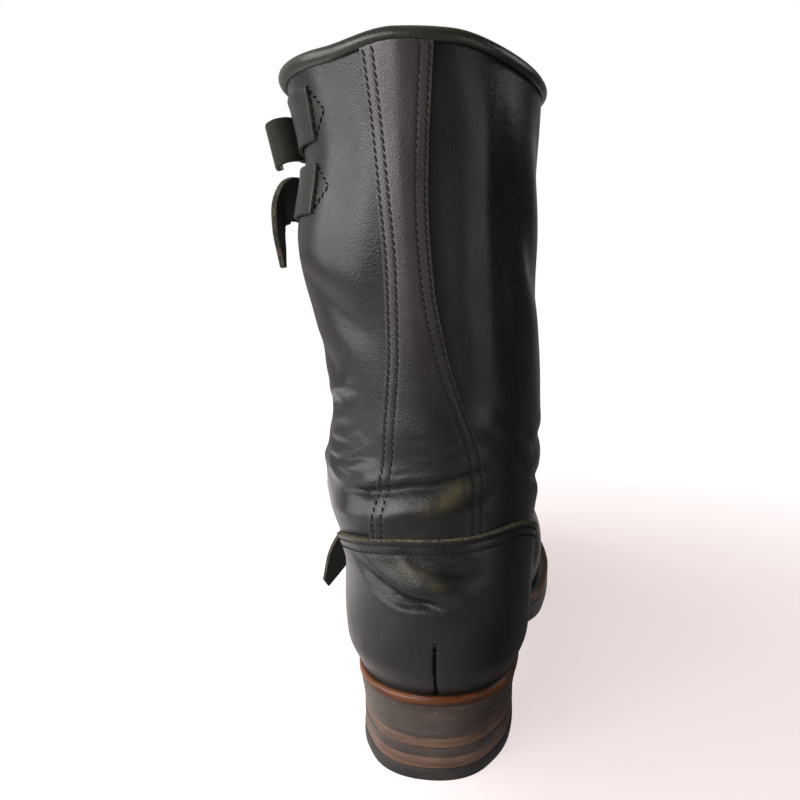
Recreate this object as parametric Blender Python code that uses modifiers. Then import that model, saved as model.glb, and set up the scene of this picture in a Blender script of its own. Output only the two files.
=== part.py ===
"""Left engineer boot: hollow leather upper on a welted sole with a stacked heel, straps and buckles.

Sizes are in millimetres until a mesh is made. Stations run forward from the back of the heel,
heights up from the floor, and x is positive on the inner (medial) side of the foot.
"""
import math
from collections import namedtuple

import bmesh
import bpy
import numpy as np

# Driving sizes
MM = 0.001
GAP = 0.3
OVERLAY_GAP = 0.55
STRAP_GAP = 0.95
EDGE_GAP = 0.9
HEEL_CENTRE = 36.0
TOE_TIP = 291.0
BREAST = 78.0
WALL = 2.4
OVERLAY = 1.5
WELT = 3.4
WELT_INSIDE = 9.0
MIDSOLE = 4.3
OUTSOLE = 4.4
INSOLE = 2.6
COLLAR_HEIGHT = 290.5
ANKLE_HEIGHT = 96.0
ANKLE_SLOPE = 0.215
STRAP_WIDTH = 20.0
STRAP = 2.4
TAB = 1.8
WIRE = 1.3
PRONG = 0.9
PRONG_SLOT = 4.0

# Mesh fineness
AROUND = 44
FOOT_LEVELS = np.linspace(0, 1, 13, endpoint=False)
SHAFT_LEVELS = np.append(np.linspace(1, 1.97, 13), 2.0)
SOLE_AROUND = 76
HEEL_POINTS = 31
PLATE_COLUMNS = 2
SEARCH_STEPS = 36
SEARCH_REACH = 110.0

# Top of the welt along the foot: heel seat, shank, flat tread, toe spring
Seat = namedtuple("Seat", "station height")
SEAT = [
    Seat(-6, 36.2), Seat(40, 35.0), Seat(84, 33.85), Seat(118, 26.0), Seat(150, 17.0), Seat(178, 12.7),
    Seat(214, 12.7), Seat(240, 14.4), Seat(268, 19.5), Seat(300, 27.5),
]

# Sections of the heel and shaft at each height: back and front stations, outer and inner sides
ShaftSection = namedtuple("ShaftSection", "height back front lateral medial")
SHAFT = [
    ShaftSection(20, 6.0, 82, -29.6, 28.6),
    ShaftSection(36, 1.6, 88, -34.0, 32.4),
    ShaftSection(50, -3.8, 93, -39.8, 37.4),
    ShaftSection(64, -4.8, 99, -41.2, 38.6),
    ShaftSection(80, -3.5, 110, -42.0, 39.4),
    ShaftSection(93, -1.5, 120, -47.4, 40.6),
    ShaftSection(106, 0.5, 127, -53.2, 41.6),
    ShaftSection(122, 2.0, 130, -55.2, 42.2),
    ShaftSection(145, 3.5, 131, -52.2, 42.6),
    ShaftSection(181, 3.0, 132, -57.4, 40.4),
    ShaftSection(219, 1.5, 134, -67.4, 38.6),
    ShaftSection(250, 0.5, 136, -62.4, 38.4),
    ShaftSection(272, -0.5, 137, -66.4, 38.8),
    ShaftSection(300, -1.5, 139, -79.0, 40.0),
]
SHAFT_SQUARENESS = 2.15

# Sections of the forefoot: half widths, top ridge and how square the arch of the section is
FootSection = namedtuple("FootSection", "station lateral medial ridge square")
FOOT = [
    FootSection(40, 22.0, 20.0, 100.0, 2.0),
    FootSection(80, 32.0, 26.0, 122.0, 2.0),
    FootSection(112, 37.0, 30.0, 127.0, 2.0),
    FootSection(135, 42.5, 35.5, 117.0, 2.05),
    FootSection(158, 47.6, 41.6, 101.5, 2.1),
    FootSection(182, 50.6, 46.4, 86.0, 2.2),
    FootSection(206, 50.4, 49.0, 74.0, 2.3),
    FootSection(232, 47.6, 50.2, 65.0, 2.4),
    FootSection(262, 44.0, 51.0, 61.5, 2.5),
    FootSection(292, 41.0, 51.0, 60.5, 2.5),
]
WIDEST_ABOVE_SEAT = 12.0
UNDERCUT = 30.0
TOE_ROUND = 78.0
TOE_BOX_ROUND = 34.0
TOE_POWER = 2.25
FOREFOOT_START = 34.0
FOREFOOT_FULL = 80.0
BLEND = 25.0

# Plan of the upper's rings, from the feather line (0) past the ankle (1) to the collar (2):
# centre of each ring and how far its search paths reach
RingPlan = namedtuple("RingPlan", "level centre_x centre_y across along")
RING_PLAN = [RingPlan(0, -2, 145, 130, 320), RingPlan(1, -8, 68, 130, 170), RingPlan(2, -14, 68, 130, 170)]

# Dips of the collar: where each starts across the boot, over what run it falls, and how far
CollarDip = namedtuple("CollarDip", "start run drop")
COLLAR_DIPS = [CollarDip(6, 42, 7.8), CollarDip(-14, -28, 4.4)]

# How far the welt and soles stand out past the feather line of the upper
Reach = namedtuple("Reach", "station reach")
REACH = [
    Reach(-10, 3.9), Reach(4, 3.6), Reach(30, 2.6), Reach(70, 2.6), Reach(120, 3.6), Reach(165, 5.6),
    Reach(300, 6.2),
]

# Heel and soles: how far their sides and back are trimmed inside the welt's edge at each height;
# behind is where the back of the heel begins, and the trim runs out along the waist
HeelTrim = namedtuple("HeelTrim", "height side back")
HEEL_TRIM = [
    HeelTrim(0, 2.4, 0.3), HeelTrim(9, 2.6, 0.7), HeelTrim(18, 2.5, 1.0), HeelTrim(22.5, 2.2, 1.0),
    HeelTrim(27, 1.6, 0.8), HeelTrim(31.5, 0.7, 0.3), HeelTrim(36, 0.0, 0.0),
]
TRIM_BEHIND = 16.0
TRIM_BEHIND_RUN = 18.0
TRIM_WAIST_RUN = 40.0

# Stacked lifts of the heel under the base lift, from the floor up
Lift = namedtuple("Lift", "name bottom top finish")
LIFTS = [
    Lift("heel_top_lift", 0.0, 5.0, "rubber"),
    Lift("heel_lift_lower", 5.3, 9.9, "brown_lift"),
    Lift("heel_lift_middle", 10.2, 13.9, "edge_dye"),
    Lift("heel_lift_upper", 14.2, 18.1, "brown_lift"),
]
BASE_LIFT_BOTTOM = 18.4

# Top edge of the counter, by plan angle from the back (positive towards the inner side)
CounterEdge = namedtuple("CounterEdge", "angle height")
COUNTER_EDGE = [
    CounterEdge(-116, 58), CounterEdge(-92, 74.5), CounterEdge(-55, 92), CounterEdge(-30, 98.6),
    CounterEdge(-4, 102.4), CounterEdge(20, 103.2), CounterEdge(40, 103.8), CounterEdge(64, 98.5),
    CounterEdge(92, 85), CounterEdge(116, 62),
]
COUNTER_AXIS = (-3.0, 62.0)
COUNTER_COLUMNS = 28
COUNTER_ROWS = 10

# Hourglass strip down the back of the shaft: its outer and inner edges at each height
StripEdge = namedtuple("StripEdge", "height outer inner")
STRIP = [
    StripEdge(98, -24.6, 21.0), StripEdge(118, -22.6, 21.2), StripEdge(132, -20.8, 19.4),
    StripEdge(152, -19.2, 13.0), StripEdge(174, -18.2, 6.2), StripEdge(203, -18.4, 0.6),
    StripEdge(234, -21.0, -1.4), StripEdge(290, -27.0, 0.4),
]
STRIP_COLUMNS = 6
STRIP_FIRST_ROW = 8.0
STRIP_LAST_ROW = 4.0
STRIP_ENDS = 6

# Section of the collar binding: growth past the upper's outside and height above its rim
BindingPoint = namedtuple("BindingPoint", "grown rise")
BINDING = [
    BindingPoint(0.5, -3.6), BindingPoint(1.6, -3.2), BindingPoint(2.1, -1.7), BindingPoint(1.7, 0.2),
    BindingPoint(0.4, 1.6), BindingPoint(-1.4, 2.3), BindingPoint(-3.2, 2.2), BindingPoint(-4.8, 0.6),
    BindingPoint(-5.3, -1.6), BindingPoint(-4.7, -3.2), BindingPoint(-3.4, -3.6), BindingPoint(-3.4, 1.3),
    BindingPoint(0.5, 0.4),
]

# Straps: where each starts, where its buckle's front and hinge bars lie, and where its tab ends,
# as angles round the shaft or round the instep
StrapRoute = namedtuple("StrapRoute", "name height start front hinge tab_end rows")
SHAFT_STRAPS = [
    StrapRoute("shaft_strap_upper", 267.0, -150, -109, -95, -36.5, 9),
    StrapRoute("shaft_strap_lower", 239.0, -150, -109, -95, -36.5, 9),
]
INSTEP_STRAP = StrapRoute("instep_strap", 0.0, -125, 48, 68, 122, 29)
SHAFT_AXIS = (-12.0, 68.0)
INSTEP_CENTRE = (-2.0, 112.0, 58.0)
INSTEP_TILT = math.radians(44)

# Heights over the leather at the buckle: strap at the hinge, hinge bar, front bar
STRAP_AT_HINGE = 4.9
HINGE_BAR = 2.3
FRONT_BAR = 5.6
FRAME_HALF = 12.4
CORNER = 2.6
CORNER_CUT = 0.3
TAB_START = 0.06
TAB_ROWS = 6
HINGE_STEP = 4.0

# Prong over the buckle: share of the way from the hinge bar to the front bar, height over the leather
ProngPoint = namedtuple("ProngPoint", "share height")
PRONG_PATH = [
    ProngPoint(0.2, 2.5), ProngPoint(0.36, 5.0), ProngPoint(0.56, 8.2), ProngPoint(1.0, 8.7),
    ProngPoint(1.16, 8.1),
]

# Free ends past the hinge bar: on along the strap, out from the leather, down, and the lean of
# the strap's width towards those directions; half is the half width there
Tail = namedtuple("Tail", "on out down lean_on lean_out half")
TAILS = {
    "shaft_strap_upper": [
        Tail(4, 0.8, 0, 0, 0, 10), Tail(8, 3.0, 0, 0, 0, 10), Tail(10, 7.0, 0, 0, 0, 10),
        Tail(9, 11.0, 0.3, 0, 0, 10), Tail(5, 13.8, 0.6, 0, 0, 9.8), Tail(-1, 15.0, 1.0, 0, 0, 9.4),
        Tail(-5, 15.4, 1.2, 0, 0, 8.4),
    ],
    "shaft_strap_lower": [
        Tail(4, 0.8, 0, 0, 0, 10), Tail(8, 3.0, 0.5, 0.1, 0, 10), Tail(10, 6.4, 3.0, 0.5, 0, 10),
        Tail(9, 9.0, 9.0, 1.6, 0, 9.4), Tail(7, 9.8, 17.0, 5.0, -0.4, 7.6),
        Tail(6, 9.2, 25.0, 9.0, -0.6, 4.4), Tail(6, 8.4, 32.0, 9.0, -0.6, 1.6),
    ],
    "instep_strap": [
        Tail(5, 1.0, 0, 0, 0, 10), Tail(10, 4.2, -1, 0, 0, 10), Tail(14, 9.6, -3, -0.1, 0.2, 10),
        Tail(17, 15.2, -2.4, -0.2, 0.4, 10), Tail(19, 18.8, 1.8, -0.3, 0.5, 9.6),
        Tail(20.5, 23.2, 9, -0.3, 0.6, 7.6), Tail(22.5, 28, 20, -0.3, 0.6, 2.6),
    ],
}
BUCKLE_ROWS = 6
SLOT_ROWS = (2, 3)


class Curve:
    """Smooth curve through table values that keeps flat runs flat and never overshoots."""

    def __init__(self, stations, values):
        self.x = np.asarray(stations, float)
        self.y = np.asarray(values, float)
        step = np.diff(self.x)
        rise = np.diff(self.y) / step
        slope = np.concatenate([rise[:1], np.zeros(len(rise) - 1), rise[-1:]])
        for i in range(1, len(rise)):
            if rise[i - 1] * rise[i] > 0:
                before = 2 * step[i] + step[i - 1]
                after = step[i] + 2 * step[i - 1]
                slope[i] = (before + after) / (before / rise[i - 1] + after / rise[i])
        self.slope = slope

    def __call__(self, at):
        at = np.clip(at, self.x[0], self.x[-1])
        i = np.clip(np.searchsorted(self.x, at) - 1, 0, len(self.x) - 2)
        step = self.x[i + 1] - self.x[i]
        t = (at - self.x[i]) / step
        rest = 1 - t
        start = self.y[i] * (1 + 2 * t) + self.slope[i] * step * t
        end = self.y[i + 1] * (1 + 2 * rest) - self.slope[i + 1] * step * rest
        return start * rest * rest + end * t * t


def curves(table):
    """One smooth curve for each column of a table, over its first column."""
    columns = list(zip(*table))
    names = table[0]._fields
    return {name: Curve(columns[0], column) for name, column in zip(names[1:], columns[1:])}


seat = curves(SEAT)["height"]
shaft = curves(SHAFT)
foot = curves(FOOT)
reach = curves(REACH)["reach"]
heel_trim = curves(HEEL_TRIM)
counter_edge = curves(COUNTER_EDGE)["height"]
strip_edge = curves(STRIP)


def rounded_end(station, start, end):
    """Factor that falls from 1 at start to 0 at end along a superellipse."""
    part = np.clip((station - start) / (end - start), 0, 1)
    return (1 - part ** TOE_POWER) ** (1 / TOE_POWER)


def radial_distance(across, along, half_across, half_along, power):
    """Distance past an oval, measured from its centre."""
    radius = np.hypot(across, along) + 1e-9
    scaled = np.abs(across / half_across) ** power + np.abs(along / half_along) ** power
    return radius - radius / np.maximum(scaled, 1e-12) ** (1 / power)


def shaft_distance(x, y, z):
    """Distance past the heel and shaft column."""
    centre_x = (shaft["lateral"](z) + shaft["medial"](z)) / 2
    centre_y = (shaft["back"](z) + shaft["front"](z)) / 2
    half_x = (shaft["medial"](z) - shaft["lateral"](z)) / 2
    half_y = (shaft["front"](z) - shaft["back"](z)) / 2
    return radial_distance(x - centre_x, y - centre_y, half_x, half_y, SHAFT_SQUARENESS)


def forefoot_distance(x, y, z):
    """Distance past the vamp and toe, whose sections stand across the foot."""
    ends = rounded_end(y, TOE_TIP - TOE_ROUND, TOE_TIP) * rounded_end(-y, -FOREFOOT_FULL, -FOREFOOT_START)
    box = rounded_end(y, TOE_TIP - TOE_BOX_ROUND, TOE_TIP)
    centre_x = (foot["medial"](y) - foot["lateral"](y)) / 2
    half_x = (foot["medial"](y) + foot["lateral"](y)) / 2 * ends + 0.01
    widest = seat(y) + WIDEST_ABOVE_SEAT
    height = np.where(z > widest, foot["ridge"](y) - widest, UNDERCUT) * box + 0.01
    section = radial_distance(x - centre_x, z - widest, half_x, height, foot["square"](y))
    return np.maximum(section, np.maximum(y - TOE_TIP, FOREFOOT_START - y))


def last_distance(x, y, z):
    """Distance past the last: the column and the forefoot, blended at waist and instep."""
    column = shaft_distance(x, y, z)
    forefoot = forefoot_distance(x, y, z)
    overlap = np.maximum(BLEND - np.abs(column - forefoot), 0)
    return np.minimum(column, forefoot) - overlap ** 2 / (4 * BLEND)


def meet(path, count, level=0.0):
    """Points where paths leave the last grown by level; path(t) gives x, y, z for t from 0 to 1."""
    near = np.zeros(count)
    far = np.ones(count)
    for _ in range(SEARCH_STEPS):
        middle = (near + far) / 2
        inside = last_distance(*path(middle)) < level
        near = np.where(inside, middle, near)
        far = np.where(inside, far, middle)
    return np.stack(path(far), axis=-1)


def ankle_height(y):
    return ANKLE_HEIGHT + ANKLE_SLOPE * y


def ease(share):
    share = np.clip(share, 0, 1)
    return share * share * (3 - 2 * share)


def collar_height(x):
    """The collar dips on both sides and most on the inner one."""
    return COLLAR_HEIGHT - sum(dip.drop * ease((x - dip.start) / dip.run) for dip in COLLAR_DIPS)


def ring_height(x, y, level):
    """Height of a ring: 0 at the feather line, 1 at the ankle, 2 at the collar."""
    low = np.clip(level, 0, 1)
    high = np.clip(level - 1, 0, 1)
    base = seat(y) + EDGE_GAP
    ankle = base + (ankle_height(y) - base) * low
    return ankle + (collar_height(x) - ankle) * high


def plan_rays(angles, centre, height, extent=(SEARCH_REACH, SEARCH_REACH)):
    """Paths outward in plan from a centre, at the height given by height(x, y)."""

    def path(t):
        x = centre[0] + extent[0] * np.sin(angles) * t
        y = centre[1] - extent[1] * np.cos(angles) * t
        return x, y, height(x, y)

    return path


def ring_rays(level, count, height):
    """Paths outward from the centre of a closed ring, from the back round the inner side and the toe."""
    columns = np.array(RING_PLAN, float).T
    plan = [np.interp(level, columns[0], column) for column in columns[1:]]
    return plan_rays(np.linspace(0, 2 * math.pi, count), plan[:2], height, plan[2:])


def ring(level, count):
    """Closed ring of the upper at a level."""
    path = ring_rays(level, count + 1, lambda x, y: ring_height(x, y, level))
    return meet(path, count + 1)


def offset_in_plan(loop, distance):
    """A closed loop moved outward in plan by distance, a number or one for each point."""
    ahead = np.roll(loop[:-1], -1, axis=0) - np.roll(loop[:-1], 1, axis=0)
    ahead = np.vstack([ahead, ahead[:1]])
    normal = np.stack([ahead[:, 1], -ahead[:, 0]], axis=1)
    normal /= np.linalg.norm(normal, axis=1, keepdims=True)
    moved = loop.copy()
    moved[:, :2] += normal * np.reshape(distance, (-1, 1))
    return moved


def material(name, colour, roughness, metallic=0.0):
    finish = bpy.data.materials.new(name)
    finish.use_nodes = True
    shader = finish.node_tree.nodes["Principled BSDF"]
    shader.inputs["Base Color"].default_value = (*colour, 1.0)
    shader.inputs["Roughness"].default_value = roughness
    shader.inputs["Metallic"].default_value = metallic
    finish.diffuse_color = (*colour, 1.0)
    return finish


def to_frame(points):
    """Millimetres from the heel's back to metres from the heel's centre."""
    return (np.asarray(points) - np.array([0.0, HEEL_CENTRE, 0.0])) * MM


def add_object(name, mesh_builder, finish):
    mesh = bpy.data.meshes.new(name)
    mesh_builder.to_mesh(mesh)
    mesh_builder.free()
    mesh.shade_smooth()
    mesh.set_sharp_from_angle(angle=math.radians(40))
    mesh.materials.append(finish)
    piece = bpy.data.objects.new(name, mesh)
    boot.objects.link(piece)
    return piece


def sheet(rows, slot=()):
    """Grid of faces through rows of points; doubled points are merged; slot lists faces to leave out."""
    rows = to_frame(rows)
    builder = bmesh.new()
    bmesh.ops.create_grid(builder, x_segments=rows.shape[1] - 1, y_segments=rows.shape[0] - 1, size=0.5)
    builder.verts.ensure_lookup_table()
    for vert, point in zip(builder.verts, rows.reshape(-1, 3)):
        vert.co = point
    builder.faces.ensure_lookup_table()
    gone = [builder.faces[row * (rows.shape[1] - 1) + column] for row, column in slot]
    bmesh.ops.delete(builder, geom=gone, context="FACES")
    bmesh.ops.remove_doubles(builder, verts=builder.verts, dist=1e-6)
    return builder


def thicken(piece, thickness, offset):
    """Solidify: offset -1 grows the wall inward from the sheet, 1 outward."""
    wall = piece.modifiers.new("Wall", "SOLIDIFY")
    wall.thickness = thickness * MM
    wall.offset = offset
    wall.use_even_offset = True
    wall.use_quality_normals = True
    return piece


def plate_rows(loop, drop):
    """Rows between the two sides of a closed loop, drop below the top of the welt."""
    half = (len(loop) - 1) // 2
    rows = []
    for i in range(half + 1):
        lateral = loop[len(loop) - 1 - i]
        medial = loop[i]
        share = np.linspace(0, 1, PLATE_COLUMNS + 1)[:, None]
        row = lateral * (1 - share) + medial * share
        row[:, 2] = seat(row[:, 1]) - drop
        rows.append(row)
    return rows


def make_upper():
    rings = [ring(level, AROUND) for level in (*FOOT_LEVELS, *SHAFT_LEVELS)]
    piece = add_object("upper", sheet(rings), finishes["black_leather"])
    thicken(piece, WALL, -1)


def trimmed(edge, height):
    """The welt's edge trimmed in round the heel as it is at a height; the forefoot keeps its edge."""
    station = edge[:, 1]
    side = heel_trim["side"](height)
    behind = (heel_trim["back"](height) - side) * ease((TRIM_BEHIND - station) / TRIM_BEHIND_RUN)
    return offset_in_plan(edge, -(side + behind) * (1 - ease((station - BREAST) / TRIM_WAIST_RUN)))


def make_sole():
    """Welt strip, midsole and outsole under the feather line; gives the sole edge and the heel's top."""
    feather = ring(0.0, SOLE_AROUND)
    edge = offset_in_plan(feather, reach(feather[:, 1]))
    inside = offset_in_plan(feather, -WELT_INSIDE)
    for loop in (edge, inside):
        loop[:, 2] = seat(loop[:, 1])
    thicken(add_object("welt", sheet([edge, inside]), finishes["welt_leather"]), WELT, -1)
    drop = WELT + GAP
    for name, thickness in (("midsole", MIDSOLE), ("outsole", OUTSOLE)):
        outline = trimmed(edge, seat(HEEL_CENTRE) - drop - thickness / 2)
        plate = add_object(name, sheet(plate_rows(outline, drop)), finishes["edge_dye"])
        thicken(plate, thickness, -1)
        drop += thickness + GAP
    bed = offset_in_plan(feather, -(WALL + EDGE_GAP))
    thicken(add_object("insole", sheet(plate_rows(bed, -GAP)), finishes["insole_leather"]), INSOLE, 1)
    return edge, drop


def heel_outline(edge, height):
    """Outline of the heel at a height, from one breast corner round the back to the other."""
    loop = trimmed(edge, height)[:-1, :2]
    half = len(loop) // 2
    run = np.roll(loop, half, axis=0)
    share = []
    for a, b in zip(run[:-1], run[1:]):
        if (a[1] - BREAST) * (b[1] - BREAST) < 0:
            part = (BREAST - a[1]) / (b[1] - a[1])
            share.append(a + (b - a) * part)
    rear = run[run[:, 1] < BREAST]
    line = np.vstack([share[:1], rear, share[-1:]])
    length = np.concatenate([[0], np.cumsum(np.linalg.norm(np.diff(line, axis=0), axis=1))])
    at = np.linspace(0, length[-1], HEEL_POINTS)
    return np.stack([np.interp(at, length, line[:, 0]), np.interp(at, length, line[:, 1])], axis=1)


def make_lift(name, edge, bottom, top, finish):
    """One layer of the heel; bottom and top are heights or functions of the station."""
    rows = []
    for height in (bottom, top):
        nominal = height(HEEL_CENTRE) if callable(height) else height
        outline = heel_outline(edge, nominal)
        level = height(outline[:, 1]) if callable(height) else np.full(len(outline), height)
        loop = np.column_stack([outline, level])
        rows.append(np.vstack([loop, loop[:1]]))
    builder = sheet(rows)
    bmesh.ops.holes_fill(builder, edges=[e for e in builder.edges if e.is_boundary])
    bmesh.ops.recalc_face_normals(builder, faces=builder.faces)
    add_object(name, builder, finish)


def make_heel(edge, sole_drop):
    for lift in LIFTS:
        make_lift(lift.name, edge, lift.bottom, lift.top, finishes[lift.finish])
    make_lift("heel_base", edge, BASE_LIFT_BOTTOM, lambda y: seat(y) - sole_drop, finishes["edge_dye"])


def make_counter():
    """Heel cover laid on the upper, from the welt to its raw top edge."""
    angles = np.linspace(COUNTER_EDGE[0].angle, COUNTER_EDGE[-1].angle, COUNTER_COLUMNS + 1)
    top = counter_edge(angles)
    rows = []
    for share in np.linspace(0, 1, COUNTER_ROWS + 1):

        def height(x, y):
            low = seat(y) + EDGE_GAP
            return low + (top - low) * share

        path = plan_rays(np.radians(angles), COUNTER_AXIS, height)
        rows.append(meet(path, len(angles), OVERLAY_GAP))
    piece = add_object("counter", sheet(rows), finishes["black_leather"])
    thicken(piece, OVERLAY, 1)


def make_back_strip():
    """Strip from the counter's edge to the binding, on the back of the shaft."""
    first = STRIP[0].height
    last = COLLAR_HEIGHT + BINDING[0].rise
    rings = ring_height(0.0, 0.0, SHAFT_LEVELS)
    between = [z for z in rings if first + STRIP_FIRST_ROW < z < last - STRIP_LAST_ROW]
    rows = []
    for height in [first, *between, last]:
        share = (height - first) / (last - first)
        x = np.linspace(strip_edge["outer"](height), strip_edge["inner"](height), STRIP_COLUMNS + 1)
        angle = np.degrees(np.arctan2(x - COUNTER_AXIS[0], COUNTER_AXIS[1]))
        low = counter_edge(angle) + EDGE_GAP - first
        high = collar_height(x) + BINDING[0].rise - EDGE_GAP - last
        z = height + low * ease(1 - STRIP_ENDS * share) + high * ease(1 - STRIP_ENDS * (1 - share))

        def path(t):
            return x, COUNTER_AXIS[1] - SEARCH_REACH * t, z

        rows.append(meet(path, len(x), OVERLAY_GAP))
    piece = add_object("back_strip", sheet(rows), finishes["black_leather"])
    thicken(piece, OVERLAY, 1)


def make_binding():
    """Rolled binding folded over the collar's rim."""
    rows = []
    for point in BINDING + BINDING[:1]:
        path = ring_rays(2, AROUND + 1, lambda x, y: collar_height(x) + point.rise)
        rows.append(meet(path, AROUND + 1, point.grown))
    builder = sheet(rows)
    bmesh.ops.recalc_face_normals(builder, faces=builder.faces)
    add_object("collar_binding", builder, finishes["black_leather"])


def shaft_wrap(route, angle, rise, level):
    """Point over the shaft at a plan angle, rise above the strap's middle."""
    turn = np.radians(np.atleast_1d(angle))
    path = plan_rays(turn, SHAFT_AXIS, lambda x, y: np.full_like(x, route.height + rise))
    return meet(path, len(turn), level)[0]


def instep_wrap(route, angle, rise, level):
    """Point over the instep at an angle from its top, rise across the strap's leaning plane."""
    turn = math.radians(angle)
    up = np.array([0.0, math.cos(INSTEP_TILT), math.sin(INSTEP_TILT)])
    aside = np.array([0.0, -math.sin(INSTEP_TILT), math.cos(INSTEP_TILT)])
    start = np.array(INSTEP_CENTRE) + aside * rise
    ray = up * math.cos(turn) - np.array([1.0, 0.0, 0.0]) * math.sin(turn)

    def path(t):
        return tuple(start[axis] + SEARCH_REACH * ray[axis] * t for axis in range(3))

    return meet(path, 1, level)[0]


def unit(vector):
    return vector / np.linalg.norm(vector)


def make_wire(name, points, radius, cyclic, finish):
    """Round wire along points."""
    curve = bpy.data.curves.new(name, "CURVE")
    curve.dimensions = "3D"
    curve.bevel_depth = radius * MM
    curve.bevel_resolution = 1
    curve.use_fill_caps = True
    spline = curve.splines.new("POLY")
    spline.points.add(len(points) - 1)
    for target, point in zip(spline.points, to_frame(points)):
        target.co = (*point, 1.0)
    spline.use_cyclic_u = cyclic
    curve.materials.append(finish)
    piece = bpy.data.objects.new(name, curve)
    boot.objects.link(piece)


def make_strap(route, wrap):
    """Strap, buckle tab, buckle frame and prong along one route."""
    half = STRAP_WIDTH / 2
    columns = (half, PRONG_SLOT / 2, -PRONG_SLOT / 2, -half)
    rows = []
    for angle in np.linspace(route.start, route.front, route.rows):
        rows.append([wrap(route, angle, rise, STRAP_GAP) for rise in columns])
    for share in np.linspace(0, 1, BUCKLE_ROWS)[1:]:
        angle = route.front + (route.hinge - route.front) * share
        level = STRAP_GAP + (STRAP_AT_HINGE - STRAP_GAP) * ease(share)
        rows.append([wrap(route, angle, rise, level) for rise in columns])
    hinge = wrap(route, route.hinge, 0.0, STRAP_AT_HINGE)
    along = unit(hinge - wrap(route, route.hinge - HINGE_STEP, 0.0, STRAP_AT_HINGE))
    aside = unit(wrap(route, route.hinge, half, 0.0) - wrap(route, route.hinge, -half, 0.0))
    out = unit(np.cross(along, aside))
    out *= np.sign(out @ (hinge - wrap(route, route.hinge, 0.0, 0.0)))
    for tail in TAILS[route.name]:
        middle = hinge + along * tail.on + out * tail.out - np.array([0.0, 0.0, tail.down])
        lean = unit(aside + along * tail.lean_on + out * tail.lean_out)
        rows.append([middle + lean * rise * tail.half / half for rise in columns])
    slot = [(route.rows - 1 + row, 1) for row in SLOT_ROWS]
    strap = add_object(route.name, sheet(rows, slot), finishes["black_leather"])
    thicken(strap, STRAP, 1)
    make_tab(route, wrap, half)
    make_buckle(route, wrap, aside)


def make_tab(route, wrap, half):
    """Short leather tab that holds the buckle's hinge bar."""
    start = route.hinge + (route.tab_end - route.hinge) * TAB_START
    rows = []
    for angle in np.linspace(start, route.tab_end, TAB_ROWS):
        rows.append([wrap(route, angle, rise, STRAP_GAP) for rise in (half, 0.0, -half)])
    tab = add_object(route.name + "_tab", sheet(rows), finishes["black_leather"])
    thicken(tab, TAB, 1)


def make_buckle(route, wrap, aside):
    """Wire frame between the hinge bar and the front bar, and the prong over the front bar."""
    hinge = wrap(route, route.hinge, 0.0, HINGE_BAR)
    front = wrap(route, route.front, 0.0, FRONT_BAR)
    forward = unit(front - hinge)
    corners = []
    for bar, way in ((hinge, -1.0), (front, 1.0)):
        ends = (1.0, -1.0) if way < 0 else (-1.0, 1.0)
        for end in ends:
            corner = bar + aside * FRAME_HALF * end
            side_point = corner - forward * CORNER * way
            bar_point = corner - aside * CORNER * end
            middle = corner - (forward * way + aside * end) * CORNER * CORNER_CUT
            first, last = (side_point, bar_point) if end * way < 0 else (bar_point, side_point)
            corners.extend([first, middle, last])
    make_wire(route.name + "_buckle", corners, WIRE, True, finishes["steel"])
    prong = []
    for point in PRONG_PATH:
        angle = route.hinge + (route.front - route.hinge) * point.share
        prong.append(wrap(route, angle, 0.0, point.height))
    make_wire(route.name + "_prong", prong, PRONG, False, finishes["steel"])


# Making the boot
for old in list(bpy.data.objects):
    bpy.data.objects.remove(old, do_unlink=True)
boot = bpy.data.collections.new("engineer_boot")
bpy.context.scene.collection.children.link(boot)

finishes = {
    "black_leather": material("black_leather", (0.018, 0.017, 0.016), 0.32),
    "welt_leather": material("welt_leather", (0.19, 0.055, 0.016), 0.5),
    "edge_dye": material("edge_dye", (0.030, 0.024, 0.021), 0.45),
    "brown_lift": material("brown_lift", (0.16, 0.07, 0.032), 0.55),
    "rubber": material("rubber", (0.022, 0.021, 0.021), 0.6),
    "insole_leather": material("insole_leather", (0.26, 0.15, 0.08), 0.7),
    "steel": material("steel", (0.62, 0.58, 0.50), 0.28, 1.0),
}

make_upper()
sole_edge, heel_drop = make_sole()
make_heel(sole_edge, heel_drop)
make_counter()
make_back_strip()
make_binding()
for strap_route in SHAFT_STRAPS:
    make_strap(strap_route, shaft_wrap)
make_strap(INSTEP_STRAP, instep_wrap)
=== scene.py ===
# %% [markdown]
# # A worn engineer boot
# This is a left boot: a tall black leather shaft over a plain foot, a counter round the heel, a strip down
# the back, buckled straps, a welted sole and a stacked heel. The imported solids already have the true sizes.
# The lesson dresses each of them: the same shape is drawn again with a much finer skin, so that it can carry
# the creases of wear, and then gets edges, stitches and finishes.

import math
from collections import namedtuple

import bmesh
import bpy
import numpy as np
from mathutils import Matrix, Vector


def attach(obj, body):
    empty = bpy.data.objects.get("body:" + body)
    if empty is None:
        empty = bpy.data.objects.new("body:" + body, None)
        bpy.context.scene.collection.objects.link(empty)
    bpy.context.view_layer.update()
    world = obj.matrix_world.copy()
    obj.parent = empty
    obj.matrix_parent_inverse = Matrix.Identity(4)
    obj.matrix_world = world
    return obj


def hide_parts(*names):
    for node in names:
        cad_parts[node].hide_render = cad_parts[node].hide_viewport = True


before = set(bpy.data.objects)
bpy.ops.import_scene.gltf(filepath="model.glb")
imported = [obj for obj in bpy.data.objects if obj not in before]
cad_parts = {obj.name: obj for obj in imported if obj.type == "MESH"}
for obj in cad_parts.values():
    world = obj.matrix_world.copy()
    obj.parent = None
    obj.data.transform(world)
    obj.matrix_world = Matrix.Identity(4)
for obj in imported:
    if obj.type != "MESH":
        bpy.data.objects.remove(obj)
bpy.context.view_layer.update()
print("packed nodes:", len(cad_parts))

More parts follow.
